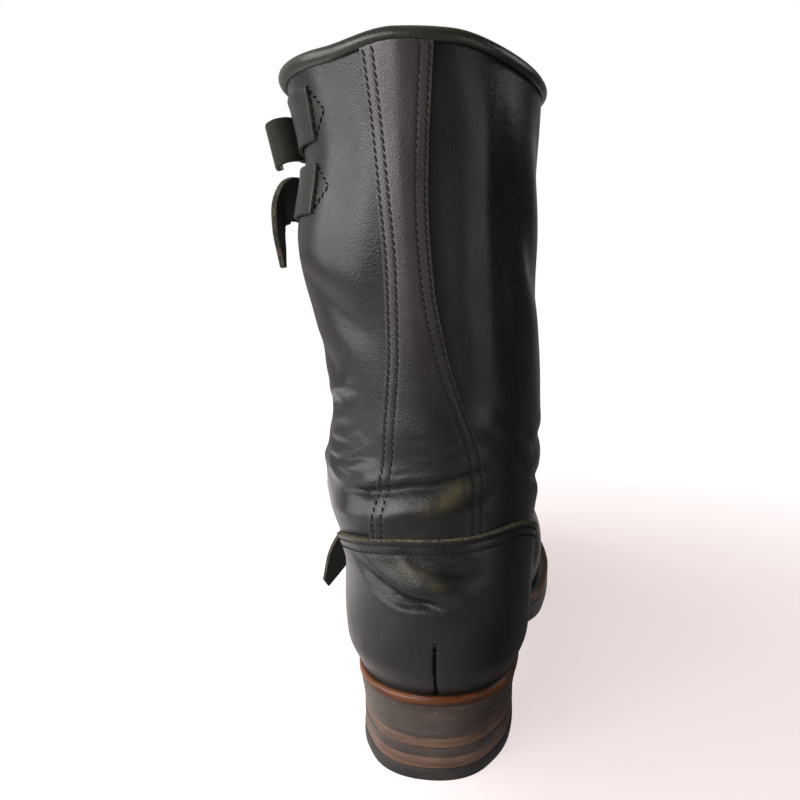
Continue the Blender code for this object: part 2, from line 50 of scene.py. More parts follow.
# %% [markdown]
# ## The shape of the last
# A boot is pulled over a wooden last, so every leather piece follows one surface. The last is described by
# three short tables: the top of the welt along the foot, level sections of the heel and shaft, and upright
# sections of the forefoot. Sizes are in millimetres. Stations run forward from the back of the heel, heights
# up from the floor, and x is positive towards the inner side of the foot.

# %% Tables of the last
MM = 0.001
HEEL_CENTRE = 36.0
TOE_TIP = 291.0
EDGE_GAP = 0.9

Seat = namedtuple("Seat", "station height")
SEAT = [
    Seat(-6, 36.2), Seat(40, 35.0), Seat(84, 33.85), Seat(118, 26.0), Seat(150, 17.0), Seat(178, 12.7),
    Seat(214, 12.7), Seat(240, 14.4), Seat(268, 19.5), Seat(300, 27.5),
]
ShaftSection = namedtuple("ShaftSection", "height back front lateral medial")
SHAFT = [
    ShaftSection(20, 6.0, 82, -29.6, 28.6),
    ShaftSection(36, 1.6, 88, -34.0, 32.4),
    ShaftSection(50, -3.8, 93, -39.8, 37.4),
    ShaftSection(64, -4.8, 99, -41.2, 38.6),
    ShaftSection(80, -3.5, 110, -42.0, 39.4),
    ShaftSection(93, -1.5, 120, -47.4, 40.6),
    ShaftSection(106, 0.5, 127, -53.2, 41.6),
    ShaftSection(122, 2.0, 130, -55.2, 42.2),
    ShaftSection(145, 3.5, 131, -52.2, 42.6),
    ShaftSection(181, 3.0, 132, -57.4, 40.4),
    ShaftSection(219, 1.5, 134, -67.4, 38.6),
    ShaftSection(250, 0.5, 136, -62.4, 38.4),
    ShaftSection(272, -0.5, 137, -66.4, 38.8),
    ShaftSection(300, -1.5, 139, -79.0, 40.0),
]
SHAFT_SQUARENESS = 2.15
FootSection = namedtuple("FootSection", "station lateral medial ridge square")
FOOT = [
    FootSection(40, 22.0, 20.0, 100.0, 2.0),
    FootSection(80, 32.0, 26.0, 122.0, 2.0),
    FootSection(112, 37.0, 30.0, 127.0, 2.0),
    FootSection(135, 42.5, 35.5, 117.0, 2.05),
    FootSection(158, 47.6, 41.6, 101.5, 2.1),
    FootSection(182, 50.6, 46.4, 86.0, 2.2),
    FootSection(206, 50.4, 49.0, 74.0, 2.3),
    FootSection(232, 47.6, 50.2, 65.0, 2.4),
    FootSection(262, 44.0, 51.0, 61.5, 2.5),
    FootSection(292, 41.0, 51.0, 60.5, 2.5),
]
WIDEST_ABOVE_SEAT = 12.0
UNDERCUT = 30.0
TOE_ROUND = 78.0
TOE_BOX_ROUND = 34.0
TOE_POWER = 2.25
FOREFOOT_START = 34.0
FOREFOOT_FULL = 80.0
BLEND = 25.0
print("sections of the last:", len(SHAFT) + len(FOOT))


# %% Smooth curves through the tables
class Curve:
    """Smooth curve through table values that keeps flat runs flat and never overshoots."""

    def __init__(self, stations, values):
        self.x = np.asarray(stations, float)
        self.y = np.asarray(values, float)
        step = np.diff(self.x)
        rise = np.diff(self.y) / step
        slope = np.concatenate([rise[:1], np.zeros(len(rise) - 1), rise[-1:]])
        for i in range(1, len(rise)):
            if rise[i - 1] * rise[i] > 0:
                before = 2 * step[i] + step[i - 1]
                after = step[i] + 2 * step[i - 1]
                slope[i] = (before + after) / (before / rise[i - 1] + after / rise[i])
        self.slope = slope

    def __call__(self, at):
        at = np.clip(at, self.x[0], self.x[-1])
        i = np.clip(np.searchsorted(self.x, at) - 1, 0, len(self.x) - 2)
        step = self.x[i + 1] - self.x[i]
        t = (at - self.x[i]) / step
        rest = 1 - t
        start = self.y[i] * (1 + 2 * t) + self.slope[i] * step * t
        end = self.y[i + 1] * (1 + 2 * rest) - self.slope[i + 1] * step * rest
        return start * rest * rest + end * t * t


def curves(table):
    """One smooth curve for each column of a table, over its first column."""
    columns = list(zip(*table))
    names = table[0]._fields
    return {name: Curve(columns[0], column) for name, column in zip(names[1:], columns[1:])}


def ease(share):
    share = np.clip(share, 0, 1)
    return share * share * (3 - 2 * share)


def lengths_along(line):
    """Length of a line from its start to each of its points."""
    return np.concatenate([[0], np.cumsum(np.linalg.norm(np.diff(line, axis=0), axis=1))])


def columns_at(marks, length, values):
    """Each column of values, read where a line has run for the marked lengths."""
    return np.stack([np.interp(marks, length, column) for column in values.T], axis=1)


seat = curves(SEAT)["height"]
shaft = curves(SHAFT)
foot = curves(FOOT)
print("welt top at the ball:", float(seat(196.0)), "mm")


# %% [markdown]
# The last itself is a distance: how far a point lies outside the leather. The column of heel and shaft and
# the forefoot each give one, and a soft minimum joins them at the waist and instep. A piece finds its place
# by walking a path outward until the distance reaches the level that the piece lies at.

# %% Distance past the last
def rounded_end(station, start, end):
    """Factor that falls from 1 at start to 0 at end along a superellipse."""
    part = np.clip((station - start) / (end - start), 0, 1)
    return (1 - part ** TOE_POWER) ** (1 / TOE_POWER)


def radial_distance(across, along, half_across, half_along, power):
    """Distance past an oval, measured from its centre."""
    radius = np.hypot(across, along) + 1e-9
    scaled = np.abs(across / half_across) ** power + np.abs(along / half_along) ** power
    return radius - radius / np.maximum(scaled, 1e-12) ** (1 / power)


def shaft_distance(x, y, z):
    centre_x = (shaft["lateral"](z) + shaft["medial"](z)) / 2
    centre_y = (shaft["back"](z) + shaft["front"](z)) / 2
    half_x = (shaft["medial"](z) - shaft["lateral"](z)) / 2
    half_y = (shaft["front"](z) - shaft["back"](z)) / 2
    return radial_distance(x - centre_x, y - centre_y, half_x, half_y, SHAFT_SQUARENESS)


def forefoot_distance(x, y, z):
    ends = rounded_end(y, TOE_TIP - TOE_ROUND, TOE_TIP) * rounded_end(-y, -FOREFOOT_FULL, -FOREFOOT_START)
    box = rounded_end(y, TOE_TIP - TOE_BOX_ROUND, TOE_TIP)
    centre_x = (foot["medial"](y) - foot["lateral"](y)) / 2
    half_x = (foot["medial"](y) + foot["lateral"](y)) / 2 * ends + 0.01
    widest = seat(y) + WIDEST_ABOVE_SEAT
    height = np.where(z > widest, foot["ridge"](y) - widest, UNDERCUT) * box + 0.01
    section = radial_distance(x - centre_x, z - widest, half_x, height, foot["square"](y))
    return np.maximum(section, np.maximum(y - TOE_TIP, FOREFOOT_START - y))


def last_distance(x, y, z):
    column = shaft_distance(x, y, z)
    forefoot = forefoot_distance(x, y, z)
    overlap = np.maximum(BLEND - np.abs(column - forefoot), 0)
    return np.minimum(column, forefoot) - overlap ** 2 / (4 * BLEND)


# %% Walking out to the leather
SEARCH_STEPS = 34
SEARCH_REACH = 110.0


def meet(path, count, level=0.0):
    """Points where paths leave the last grown by level; path(t) gives x, y, z for t from 0 to 1."""
    near = np.zeros(count)
    far = np.ones(count)
    for _ in range(SEARCH_STEPS):
        middle = (near + far) / 2
        inside = last_distance(*path(middle)) < level
        near = np.where(inside, middle, near)
        far = np.where(inside, far, middle)
    return np.stack(path(far), axis=-1)


def plan_rays(angles, centre, height, extent=(SEARCH_REACH, SEARCH_REACH)):
    """Paths outward in plan from a centre, at the height given by height(x, y)."""

    def path(t):
        x = centre[0] + extent[0] * np.sin(angles) * t
        y = centre[1] - extent[1] * np.cos(angles) * t
        return x, y, height(x, y)

    return path


def outward(points):
    """Direction that points away from the leather at each point."""
    step = 0.2
    slopes = []
    for axis in np.eye(3) * step:
        slopes.append(last_distance(*(points + axis).T) - last_distance(*(points - axis).T))
    normal = np.stack(slopes, axis=-1)
    return normal / np.linalg.norm(normal, axis=-1, keepdims=True)


print("back of the heel 64 mm up:", float(shaft["back"](64.0)), "mm")

# %% [markdown]
# ## Creases of wear
# The leather has broken in: it sags above the counter, the counter itself has rolled over, the shaft has
# soft dents below its straps and the vamp has creased at the ball. Sculpting or cloth would not put these
# where they belong, so each fold is a row of a table: where it runs round the boot, how wide and deep its
# trough is, and how far the leather bulges above and below it. A negative depth is a ridge.

# %% Table of folds
FOLD_AXIS = (-3.0, 62.0)
FOLD_RADIUS = 58.0
FOLD_FADE = 0.3
FOLD_WANDER = 0.35
FOLD_WANDER_WAVES = 13
FOLD_TREMBLE = 0.21
FOLD_TREMBLE_WAVES = 29
BULGE_AWAY = 2.1
BULGE_WIDTH = 1.5
CREASED_WIDTH = 1.6

Fold = namedtuple("Fold", "angle_a height_a angle_b height_b bow width depth over under")
ANKLE_FOLDS = [
    Fold(-42, 116.5, 30, 129.0, -0.8, 2.2, 1.7, 0.5, 0.0),
    Fold(-54, 103.5, 26, 118.5, -0.6, 6.2, -2.8, 0.0, 0.0),
    Fold(-10, 106, 32, 118, 0.0, 3.2, 1.0, 0.0, 0.0),
    Fold(-60, 133, -24, 136, 0.5, 1.9, 1.1, 0.7, 0.5),
    Fold(-58, 127.5, -16, 134.5, -1.4, 1.9, 1.2, 0.4, 0.9),
    Fold(-48, 125, -20, 122, 0.0, 1.7, 0.9, 0.3, 0.6),
    Fold(-40, 119.5, -14, 117.5, 0.0, 1.8, 0.9, 0.6, 0.2),
    Fold(-68, 147, -27, 154.5, 1.0, 2.8, 1.6, 0.9, 1.0),
    Fold(16, 143, 54, 127, 0.0, 3.0, 0.7, 0.4, 0.4),
    Fold(28, 151, 68, 134, 0.0, 3.2, 0.6, 0.3, 0.4),
    Fold(38, 128, 86, 116, -1.0, 3.0, 0.9, 0.5, 0.6),
    Fold(-6, 142, 17, 142.5, 0.0, 1.3, 0.3, 0.15, 0.15),
    Fold(-5, 136.5, 21, 135, 0.3, 1.5, 0.4, 0.2, 0.2),
    Fold(-8, 131.5, 20, 131, 0.0, 1.3, 0.4, 0.2, 0.2),
    Fold(-36, 141, 36, 144, 0.0, 8.0, -0.9, 0.0, 0.0),
    Fold(-16, 127, 14, 130, 0.0, 1.2, 0.35, 0.2, 0.2),
]
SHAFT_FOLDS = [
    Fold(-60, 206, -16, 178, 0.0, 4.4, 0.8, 0.3, 0.5),
    Fold(-52, 154, -28, 156.5, 0.8, 1.6, 0.8, 0.4, 0.5),
    Fold(-70, 219, -16, 200, 0.0, 8.0, -1.1, 0.0, 0.0),
    Fold(-78, 178, -38, 166, 0.0, 5.0, 0.9, 0.3, 0.5),
    Fold(54, 214, 112, 196, 0.0, 9.0, 0.8, 0.2, 0.3),
    Fold(-150, 190, -84, 206, 0.0, 9.0, 1.2, 0.4, 0.5),
]
COUNTER_FOLDS = [
    Fold(-33, 93.5, 14, 76.5, -5.0, 2.3, 2.2, 0.8, 0.2),
    Fold(-20, 87.5, -5, 80, -1.0, 0.8, 0.5, 0.15, 0.15),
    Fold(-9, 82.5, 7, 74.5, 0.0, 0.8, 0.45, 0.15, 0.15),
    Fold(-23, 82.5, 8, 77.5, -3.0, 1.1, 0.8, 0.2, 0.2),
    Fold(-15, 79.5, 4, 80.0, -1.0, 0.8, 0.5, 0.15, 0.15),
    Fold(-12, 98.5, 24, 86, 0.0, 3.6, 1.8, 0.0, 0.8),
    Fold(-2, 95, 18, 91.5, 0.0, 0.9, 0.35, 0.15, 0.15),
    Fold(0, 91.2, 18, 88.4, 0.0, 0.9, 0.3, 0.15, 0.15),
    Fold(-38, 60, -6, 65, 0.0, 6.0, 0.5, 0.0, 0.0),
]
FRONT_FOLDS = [
    Fold(116, 104, 244, 104, 18, 4.4, 2.4, 1.0, 1.2),
    Fold(124, 124, 236, 122, 12, 4.2, 1.7, 0.8, 0.9),
    Fold(134, 144, 226, 142, 7, 4.0, 1.1, 0.5, 0.6),
    Fold(62, 120, 126, 102, 2, 3.4, 1.2, 0.6, 0.7),
    Fold(72, 136, 128, 124, 2, 3.2, 0.9, 0.4, 0.5),
    Fold(-128, 100, -58, 119, 2, 3.4, 1.3, 0.6, 0.8),
    Fold(-126, 122, -64, 131, 2, 3.2, 1.0, 0.5, 0.6),
]
FOLDS = ANKLE_FOLDS + SHAFT_FOLDS + COUNTER_FOLDS + FRONT_FOLDS

Flex = namedtuple("Flex", "station bow width depth")
FLEXES = [Flex(178, 9, 3.6, 1.0), Flex(190, 11, 3.2, 1.5), Flex(201, 12, 3.0, 1.2), Flex(211, 12, 2.6, 0.7)]
FLEX_HALF = 46.0
FLEX_LOW = 8.0
FLEX_RUN = 14.0
FLEX_SIDES = 0.45
FLEX_SIDE_WIDTH = 1.4
FLEX_CREASED = 0.7

Ripple = namedtuple("Ripple", "around up turn height")
RIPPLES = [Ripple(3, 33, 0.4, 0.30), Ripple(5, 24, 1.9, 0.22), Ripple(8, 41, 4.1, 0.14)]
RIPPLE_START = 105.0
RIPPLE_RUN = 40.0

Band = namedtuple("Band", "angle_low angle_high wide depth")
BANDS = [Band(15, 8, 4.5, 0.45), Band(31, 22, 5.0, -0.5), Band(40, 32, 4.5, 0.4), Band(-30, -34, 6.0, 0.4)]
BAND_LOW = 150.0
BAND_HIGH = 270.0
BAND_FADE = 40.0
BAND_PAST = 15.0
print("folds:", len(FOLDS), "flex creases:", len(FLEXES))


# %% Height of the creases at any point
def around(points):
    """Plan angle of each point in degrees, from the back and positive towards the inner side."""
    return np.degrees(np.arctan2(points[:, 0] - FOLD_AXIS[0], FOLD_AXIS[1] - points[:, 1]))


def fold_place(fold, angle, height):
    """How strongly a fold acts at a point, and the distance above its line."""
    middle = (fold.angle_a + fold.angle_b) / 2
    turn = (angle - middle + 180) % 360 - 180 + middle
    share = (turn - fold.angle_a) / (fold.angle_b - fold.angle_a)
    line = fold.height_a + (fold.height_b - fold.height_a) * share + fold.bow * 4 * share * (1 - share)
    line = line + FOLD_WANDER * np.sin(np.radians(angle) * FOLD_WANDER_WAVES + fold.height_a)
    line = line + FOLD_TREMBLE * np.sin(np.radians(angle) * FOLD_TREMBLE_WAVES + fold.height_b)
    run = math.radians(fold.angle_b - fold.angle_a) * FOLD_RADIUS
    strength = ease(share / FOLD_FADE) * ease((1 - share) / FOLD_FADE)
    return strength, (height - line) / math.hypot(1, (fold.height_b - fold.height_a) / run)


def bell(distance, width):
    return np.exp(-(distance / width) ** 2)


def relief(points):
    """Rise of the worn leather over the last, and how creased it is, at each point."""
    angle = around(points)
    height = points[:, 2]
    rise = np.zeros(len(points))
    creased = np.zeros(len(points))
    for fold in FOLDS:
        strength, above = fold_place(fold, angle, height)
        trough = bell(above, fold.width)
        over = fold.over * bell(above - BULGE_AWAY * fold.width, BULGE_WIDTH * fold.width)
        under = fold.under * bell(above + BULGE_AWAY * fold.width, BULGE_WIDTH * fold.width)
        rise += strength * (over + under - fold.depth * trough)
        creased += strength * bell(above, CREASED_WIDTH * fold.width) * np.clip(fold.depth, 0, 1)
    top = ease((height - seat(points[:, 1]) - FLEX_LOW) / FLEX_RUN)
    for flex in FLEXES:
        line = flex.station - flex.bow * (points[:, 0] / FLEX_HALF) ** 2
        ahead = points[:, 1] - line
        apart = 2 * flex.width
        wide = FLEX_SIDE_WIDTH * flex.width
        sides = bell(ahead - apart, wide) + bell(ahead + apart, wide)
        rise += top * flex.depth * (FLEX_SIDES * sides - bell(ahead, flex.width))
        creased += top * bell(ahead, apart) * FLEX_CREASED
    soft = ease((height - RIPPLE_START) / RIPPLE_RUN)
    for ripple in RIPPLES:
        wave = np.sin(np.radians(angle) * ripple.around + height / ripple.up * math.pi + ripple.turn)
        rise += soft * ripple.height * wave
    up = (height - BAND_LOW) / (BAND_HIGH - BAND_LOW)
    tall = ease((height - BAND_LOW) / BAND_FADE) * ease((BAND_HIGH + BAND_PAST - height) / BAND_FADE)
    for band in BANDS:
        line = band.angle_low + (band.angle_high - band.angle_low) * up
        rise -= tall * band.depth * bell(angle - line, band.wide)
    return rise, np.clip(creased, 0, 1)


def settle(points):
    """Moves points on the last out or in to the worn leather."""
    flat = points.reshape(-1, 3)
    moved = flat + outward(flat) * relief(flat)[0][:, None]
    return moved.reshape(points.shape)


print("deepest trough:", max(fold.depth for fold in FOLDS), "mm")

# %% [markdown]
# ## Finishes
# Every surface is procedural, so a small helper keeps the node work readable. A wire stands for the output
# of a node, and Python arithmetic on wires adds Math nodes. Patterns are sized in millimetres and read
# Object coordinates, because all pieces share the boot's own frame.

# %% Wires and finishes
DARK_QUARTER = (0.848, 0.530, 0.0)
DARK_EDGE = (0.70, 0.92)
LEVEL_ONLY = (1.0, 1.0, 0.0)


class Wire:
    """Output of a node; arithmetic on it adds Math nodes."""

    def __init__(self, finish, socket):
        self.finish = finish
        self.socket = socket

    def math(self, operation, first, second):
        return self.finish.node("ShaderNodeMath", {"operation": operation}, {0: first, 1: second})

    def __add__(self, other):
        return self.math("ADD", self, other)

    def __sub__(self, other):
        return self.math("SUBTRACT", self, other)

    def __rsub__(self, other):
        return self.math("SUBTRACT", other, self)

    def __mul__(self, other):
        return self.math("MULTIPLY", self, other)

    def larger(self, other):
        return self.math("MAXIMUM", self, other)

    __radd__ = __add__
    __rmul__ = __mul__


class Nodes:
    """A node tree whose shader takes wires; constants go straight onto the shader's sockets."""

    def __init__(self, owner, shader, constants):
        owner.use_nodes = True
        self.tree = owner.node_tree
        self.shader = self.tree.nodes[shader]
        for socket, value in constants.items():
            self.shader.inputs[socket].default_value = value

    def node(self, kind, settings, inputs, output=0):
        """Adds a node: its settings first, then the values or links of its sockets."""
        made = self.tree.nodes.new(kind)
        for name, value in settings.items():
            setattr(made, name, value)
        for socket, value in inputs.items():
            if isinstance(value, Wire):
                self.tree.links.new(value.socket, made.inputs[socket])
            else:
                made.inputs[socket].default_value = value
        return Wire(self, made.outputs[output])

    def feed(self, socket, wire):
        self.tree.links.new(wire.socket, self.shader.inputs[socket])

    def vector(self, operation, *inputs, output=0):
        """Vector Math on wires or plain vectors."""
        return self.node("ShaderNodeVectorMath", {"operation": operation}, dict(enumerate(inputs)), output)

    def axis(self, place, name):
        """One coordinate of a place or direction."""
        return self.node("ShaderNodeSeparateXYZ", {}, {0: place}, name)

    def window(self, value, low, high):
        """Smooth step of a value from 0 at low to 1 at high."""
        inputs = {0: value, 1: low, 2: high, 3: 0.0, 4: 1.0}
        return self.node("ShaderNodeMapRange", {"interpolation_type": "SMOOTHSTEP"}, inputs)

    def mix(self, share, first, second):
        """Colour between two colours."""
        return self.node("ShaderNodeMix", {"data_type": "RGBA"}, {0: share, 6: first, 7: second}, 2)

    def shaded(self, way):
        """How far a direction from the boot lies in the dark quarter of the studio, on the right."""
        level = self.vector("NORMALIZE", self.vector("MULTIPLY", way, LEVEL_ONLY))
        near = self.vector("DOT_PRODUCT", level, DARK_QUARTER, output="Value")
        return self.window(near, *DARK_EDGE)


class Finish(Nodes):
    """One material of the boot, with patterns sized in millimetres."""

    def __init__(self, name, constants):
        self.material = bpy.data.materials.new(name)
        super().__init__(self.material, "Principled BSDF", constants)
        self.place = self.node("ShaderNodeTexCoord", {}, {}, "Object")

    def noise(self, size, detail=2.0, stretch=(1.0, 1.0, 1.0), rough=0.55):
        """Cloudy pattern with patches of about size millimetres, longer where the stretch is small."""
        place = self.vector("MULTIPLY", self.place, stretch)
        inputs = {"Vector": place, "Scale": 1 / (size * MM), "Detail": detail, "Roughness": rough}
        return self.node("ShaderNodeTexNoise", {}, inputs)

    def cells(self, size):
        """Distance to the nearest cell edge, for grain."""
        inputs = {"Vector": self.place, "Scale": 1 / (size * MM)}
        return self.node("ShaderNodeTexVoronoi", {"feature": "DISTANCE_TO_EDGE"}, inputs)

    def painted(self, name):
        """Value that a piece carries on its points."""
        return self.node("ShaderNodeAttribute", {"attribute_name": name}, {}, "Fac")

    def bump(self, height, depth, strength=1.0, normal=None):
        """Bump of depth millimetres, over another bump if one is given."""
        inputs = {"Strength": strength, "Distance": depth * MM, "Height": height}
        if normal is not None:
            inputs["Normal"] = normal
        return self.node("ShaderNodeBump", {}, inputs)


print("finish helper ready")

# %% [markdown]
# ### Black leather
# The leather is dyed through in a warm black and polished, so most of what shows is reflection. What makes
# it look worn is roughness: clouds of duller polish, a fine grain, tiny wrinkles inside each crease, and an
# olive tone where the dye has rubbed thin on ridges. Three painted values steer that: crease, wear and bare.

# %% Black leather and its cut faces
OLIVE = (0.052, 0.045, 0.022, 1.0)
BLACK_DARK = (0.0042, 0.0042, 0.0040, 1)
BLACK_LIGHT = (0.0100, 0.0092, 0.0086, 1)
BLOOM_AND_SHEEN_HEIGHT = (0.14, 0.215)
BLOOM_AND_SHEEN_CLOUDS = (0.1, 0.6)


def black_leather(name, shine, dark=BLACK_DARK, light=BLACK_LIGHT, bloom_and_painted_sheen=None):
    """Polished leather; the last argument colours a dull bloom and painted sheen on the upper boot."""
    finish = Finish(name, {"Specular IOR Level": 0.27, "Coat Roughness": 0.24, "Coat IOR": 1.4})
    crease = finish.painted("crease")
    wear_and_welt_shading = finish.painted("wear_and_welt_shading")
    clouds = finish.noise(34, 4)
    smears = finish.noise(9, 3, (1.0, 1.0, 0.35))
    dyed = finish.mix(clouds, dark, light)
    # Painted sheen: a lighter purple-grey in cloudy patches on the upper part only, over a dull bloom.
    if bloom_and_painted_sheen:
        upper_part = finish.window(finish.axis(finish.place, "Z"), *BLOOM_AND_SHEEN_HEIGHT)
        dyed = finish.mix(upper_part * finish.window(clouds, *BLOOM_AND_SHEEN_CLOUDS), dyed, bloom_and_painted_sheen)
    rubbed = wear_and_welt_shading * finish.window(smears, 0.25, 0.7)
    frayed = finish.noise(1.5, 4, (1.0, 1.0, 0.7), 0.7)
    fibres = finish.mix(finish.window(frayed, 0.3, 0.7), (0.006, 0.006, 0.004, 1), (0.100, 0.092, 0.056, 1))
    bare = finish.window(finish.painted("bare") + frayed * 0.5, 0.45, 0.85)
    finish.feed("Base Color", finish.mix(bare, finish.mix(rubbed, dyed, OLIVE), fibres))
    polish = finish.window(clouds, 0.35, 0.7) * 0.10 + finish.window(smears, 0.4, 0.75) * 0.05
    finish.feed("Roughness", polish + crease * 0.10 + wear_and_welt_shading * 0.08 + bare * 0.4 + shine)
    finish.feed("Coat Weight", 0.17 - polish * 0.7 - crease * 0.10 - bare * 0.2)
    grain = finish.bump(finish.window(finish.cells(1.25), 0.0, 0.24), 0.05, 0.7)
    pores = finish.bump(finish.noise(0.42, 2), 0.02, 0.5, grain)
    pebbles = finish.bump(finish.noise(2.1, 3, rough=0.65), 0.07, 0.6, pores)
    soft = finish.bump(finish.noise(7.5, 3), 0.16, 0.6, pebbles)
    wrinkles = finish.noise(2.0, 3, (0.5, 0.5, 1.0), 0.6)
    finish.feed("Normal", finish.bump(wrinkles * crease, 0.5, 0.7, soft))
    return finish


def raw_edge(name, dark, light, dye):
    """Cut edge of the leather, dyed over in places."""
    finish = Finish(name, {"Specular IOR Level": 0.25})
    fibres = finish.noise(1.3, 4, rough=0.7)
    worn = finish.noise(9, 3)
    edge = finish.mix(finish.window(fibres, 0.32, 0.68), dark, light)
    finish.feed("Base Color", finish.mix(finish.window(worn, 0.42, 0.68), edge, dye))
    finish.feed("Roughness", 0.72 + fibres * 0.2)
    finish.feed("Normal", finish.bump(fibres, 0.25, 0.8))
    return finish


def flesh_side():
    """Napped back of the leather on the free strap ends."""
    finish = Finish("flesh_side", {"Specular IOR Level": 0.2, "Sheen Weight": 0.06, "Sheen Roughness": 0.5})
    nap = finish.noise(0.5, 3)
    patches = finish.noise(7, 3)
    dull = finish.mix(patches, (0.004, 0.0045, 0.0035, 1), (0.013, 0.0135, 0.010, 1))
    finish.feed("Base Color", finish.mix(nap * 0.5, dull, (0.028, 0.028, 0.020, 1)))
    finish.feed("Roughness", 0.78 + nap * 0.15)
    finish.feed("Normal", finish.bump(nap, 0.18, 0.7))
    return finish


def lining():
    """Plain leather lining inside the shaft and foot."""
    finish = Finish("lining_leather", {"Specular IOR Level": 0.3})
    patches = finish.noise(26, 3)
    fine = finish.noise(0.8, 2)
    finish.feed("Base Color", finish.mix(patches, (0.050, 0.032, 0.018, 1), (0.092, 0.060, 0.034, 1)))
    finish.feed("Roughness", 0.6 + patches * 0.2)
    finish.feed("Normal", finish.bump(fine, 0.05, 0.5))
    return finish


shaft_black = black_leather("shaft_black_leather", 0.25)
trim_black = black_leather("trim_black_leather", 0.27)
strip_black = black_leather("strip_black_leather", 0.29, bloom_and_painted_sheen=(0.036, 0.029, 0.032, 1))
rim_black = black_leather("rim_black_leather", 0.22, (0.010, 0.010, 0.008, 1), (0.026, 0.025, 0.019, 1))
raw = raw_edge("raw_cut_edge", (0.012, 0.011, 0.007, 1), (0.095, 0.087, 0.052, 1), (0.022, 0.020, 0.013, 1))
strap_edge = raw_edge(
    "strap_cut_edge", (0.014, 0.013, 0.009, 1), (0.070, 0.062, 0.042, 1), (0.012, 0.012, 0.010, 1))
flesh = flesh_side()
lined = lining()
print("leathers:", [f.material.name for f in (shaft_black, trim_black, raw, flesh, lined)])

# %% [markdown]
# ### Sole, heel and metal
# The welt is waxed reddish brown leather. The heel is a stack: bare brown lifts between dark dyed ones, with
# a rubber top lift on the floor. Streaks along each layer come from noise that is stretched flat, and small
# pale scuffs from a sharp window on coarser noise.

# %% Sole and heel finishes
def sole_edge_finish(name, dark, light, shine, scuff, scuff_colour, smear=0.0, smear_colour=(0, 0, 0, 1)):
    finish = Finish(name, {"Specular IOR Level": 0.28, "Coat Roughness": 0.2})
    streaks = finish.noise(7, 4, (0.22, 0.22, 2.6), 0.62)
    blotches = finish.noise(16, 3)
    fibres = finish.noise(0.55, 2, (0.3, 0.3, 1.5))
    scuffs = finish.window(finish.noise(4.5, 5, (0.6, 0.6, 1.3), 0.7), scuff, scuff + 0.08)
    body = finish.mix(finish.window(streaks * 0.6 + blotches * 0.4, 0.3, 0.7), dark, light)
    smears = finish.window(finish.noise(13, 4, (0.35, 0.35, 1.6), 0.68), 0.46, 0.66)
    body = finish.mix(smears * smear, body, smear_colour)
    finish.feed("Base Color", finish.mix(scuffs * 0.55, body, scuff_colour))
    finish.feed("Roughness", streaks * 0.22 + scuffs * 0.2 + shine)
    finish.feed("Coat Weight", 0.15 - scuffs * 0.12)
    lines = finish.bump(streaks, 0.07, 0.6)
    finish.feed("Normal", finish.bump(fibres, 0.04, 0.6, lines))
    return finish


def welt_finish():
    """Waxed welt: bright on its worn, lit outer corner; painted shade in the crevice and underneath."""
    finish = Finish("welt_brown_leather", {"Specular IOR Level": 0.3, "Coat Roughness": 0.18})
    # Wear and painted light: 1 on the worn, lit corner, 0 in the painted shade of crevice and underside.
    worn_and_lit_corner = finish.painted("wear_and_welt_shading")
    streaks = finish.noise(9, 4, (0.3, 0.3, 1.6), 0.65)
    waxed = finish.window(streaks, 0.3, 0.72)
    body = finish.mix(waxed, (0.040, 0.0095, 0.0018, 1), (0.170, 0.046, 0.006, 1))
    finish.feed("Base Color", finish.mix(worn_and_lit_corner, (0.006, 0.0032, 0.0018, 1), body))
    finish.feed("Roughness", 0.26 + streaks * 0.22)
    finish.feed("Coat Weight", worn_and_lit_corner * 0.08)
    finish.feed("Normal", finish.bump(streaks, 0.14, 0.6))
    return finish


welt_brown = welt_finish()
lift_brown = sole_edge_finish(
    "lift_brown_leather", (0.058, 0.031, 0.020, 1), (0.138, 0.076, 0.049, 1), 0.36,
    0.66, (0.27, 0.20, 0.15, 1), 0.65, (0.036, 0.025, 0.020, 1))
edge_dark = sole_edge_finish(
    "edge_dark_dye", (0.021, 0.015, 0.013, 1), (0.056, 0.042, 0.037, 1), 0.30,
    0.64, (0.19, 0.165, 0.15, 1), 0.3, (0.080, 0.047, 0.032, 1))
lift_rubber = sole_edge_finish(
    "top_lift_rubber", (0.010, 0.009, 0.008, 1), (0.027, 0.024, 0.022, 1), 0.48,
    0.64, (0.13, 0.115, 0.10, 1))
tread_tan = sole_edge_finish(
    "tread_leather", (0.085, 0.052, 0.030, 1), (0.160, 0.100, 0.058, 1), 0.55,
    0.60, (0.07, 0.06, 0.05, 1))
sole_finishes = (welt_brown, lift_brown, edge_dark, lift_rubber, tread_tan)
print("sole finishes:", [finish.material.name for finish in sole_finishes])


# %% Metal, thread and insole
def buckle_metal():
    finish = Finish("buckle_metal", {"Metallic": 1.0})
    tarnish = finish.noise(3.2, 4)
    marks = finish.noise(0.6, 3, (1, 1, 0.3))
    finish.feed("Base Color", finish.mix(tarnish, (0.62, 0.55, 0.44, 1), (0.30, 0.27, 0.22, 1)))
    finish.feed("Roughness", 0.2 + tarnish * 0.22 + marks * 0.08)
    finish.feed("Normal", finish.bump(marks, 0.02, 0.5))
    return finish


def thread(name, dark, light, shine=0.2):
    finish = Finish(name, {"Specular IOR Level": shine})
    twist = finish.noise(0.35, 2)
    finish.feed("Base Color", finish.mix(twist, dark, light))
    finish.feed("Roughness", 0.6 + twist * 0.2)
    finish.feed("Normal", finish.bump(twist, 0.06, 0.8))
    return finish


def insole_leather():
    finish = Finish("insole_leather_worn", {"Specular IOR Level": 0.3})
    stains = finish.noise(30, 4)
    fine = finish.noise(0.9, 2)
    finish.feed("Base Color", finish.mix(stains, (0.120, 0.070, 0.036, 1), (0.240, 0.150, 0.085, 1)))
    finish.feed("Roughness", 0.55 + stains * 0.25)
    finish.feed("Normal", finish.bump(fine, 0.05, 0.5))
    return finish


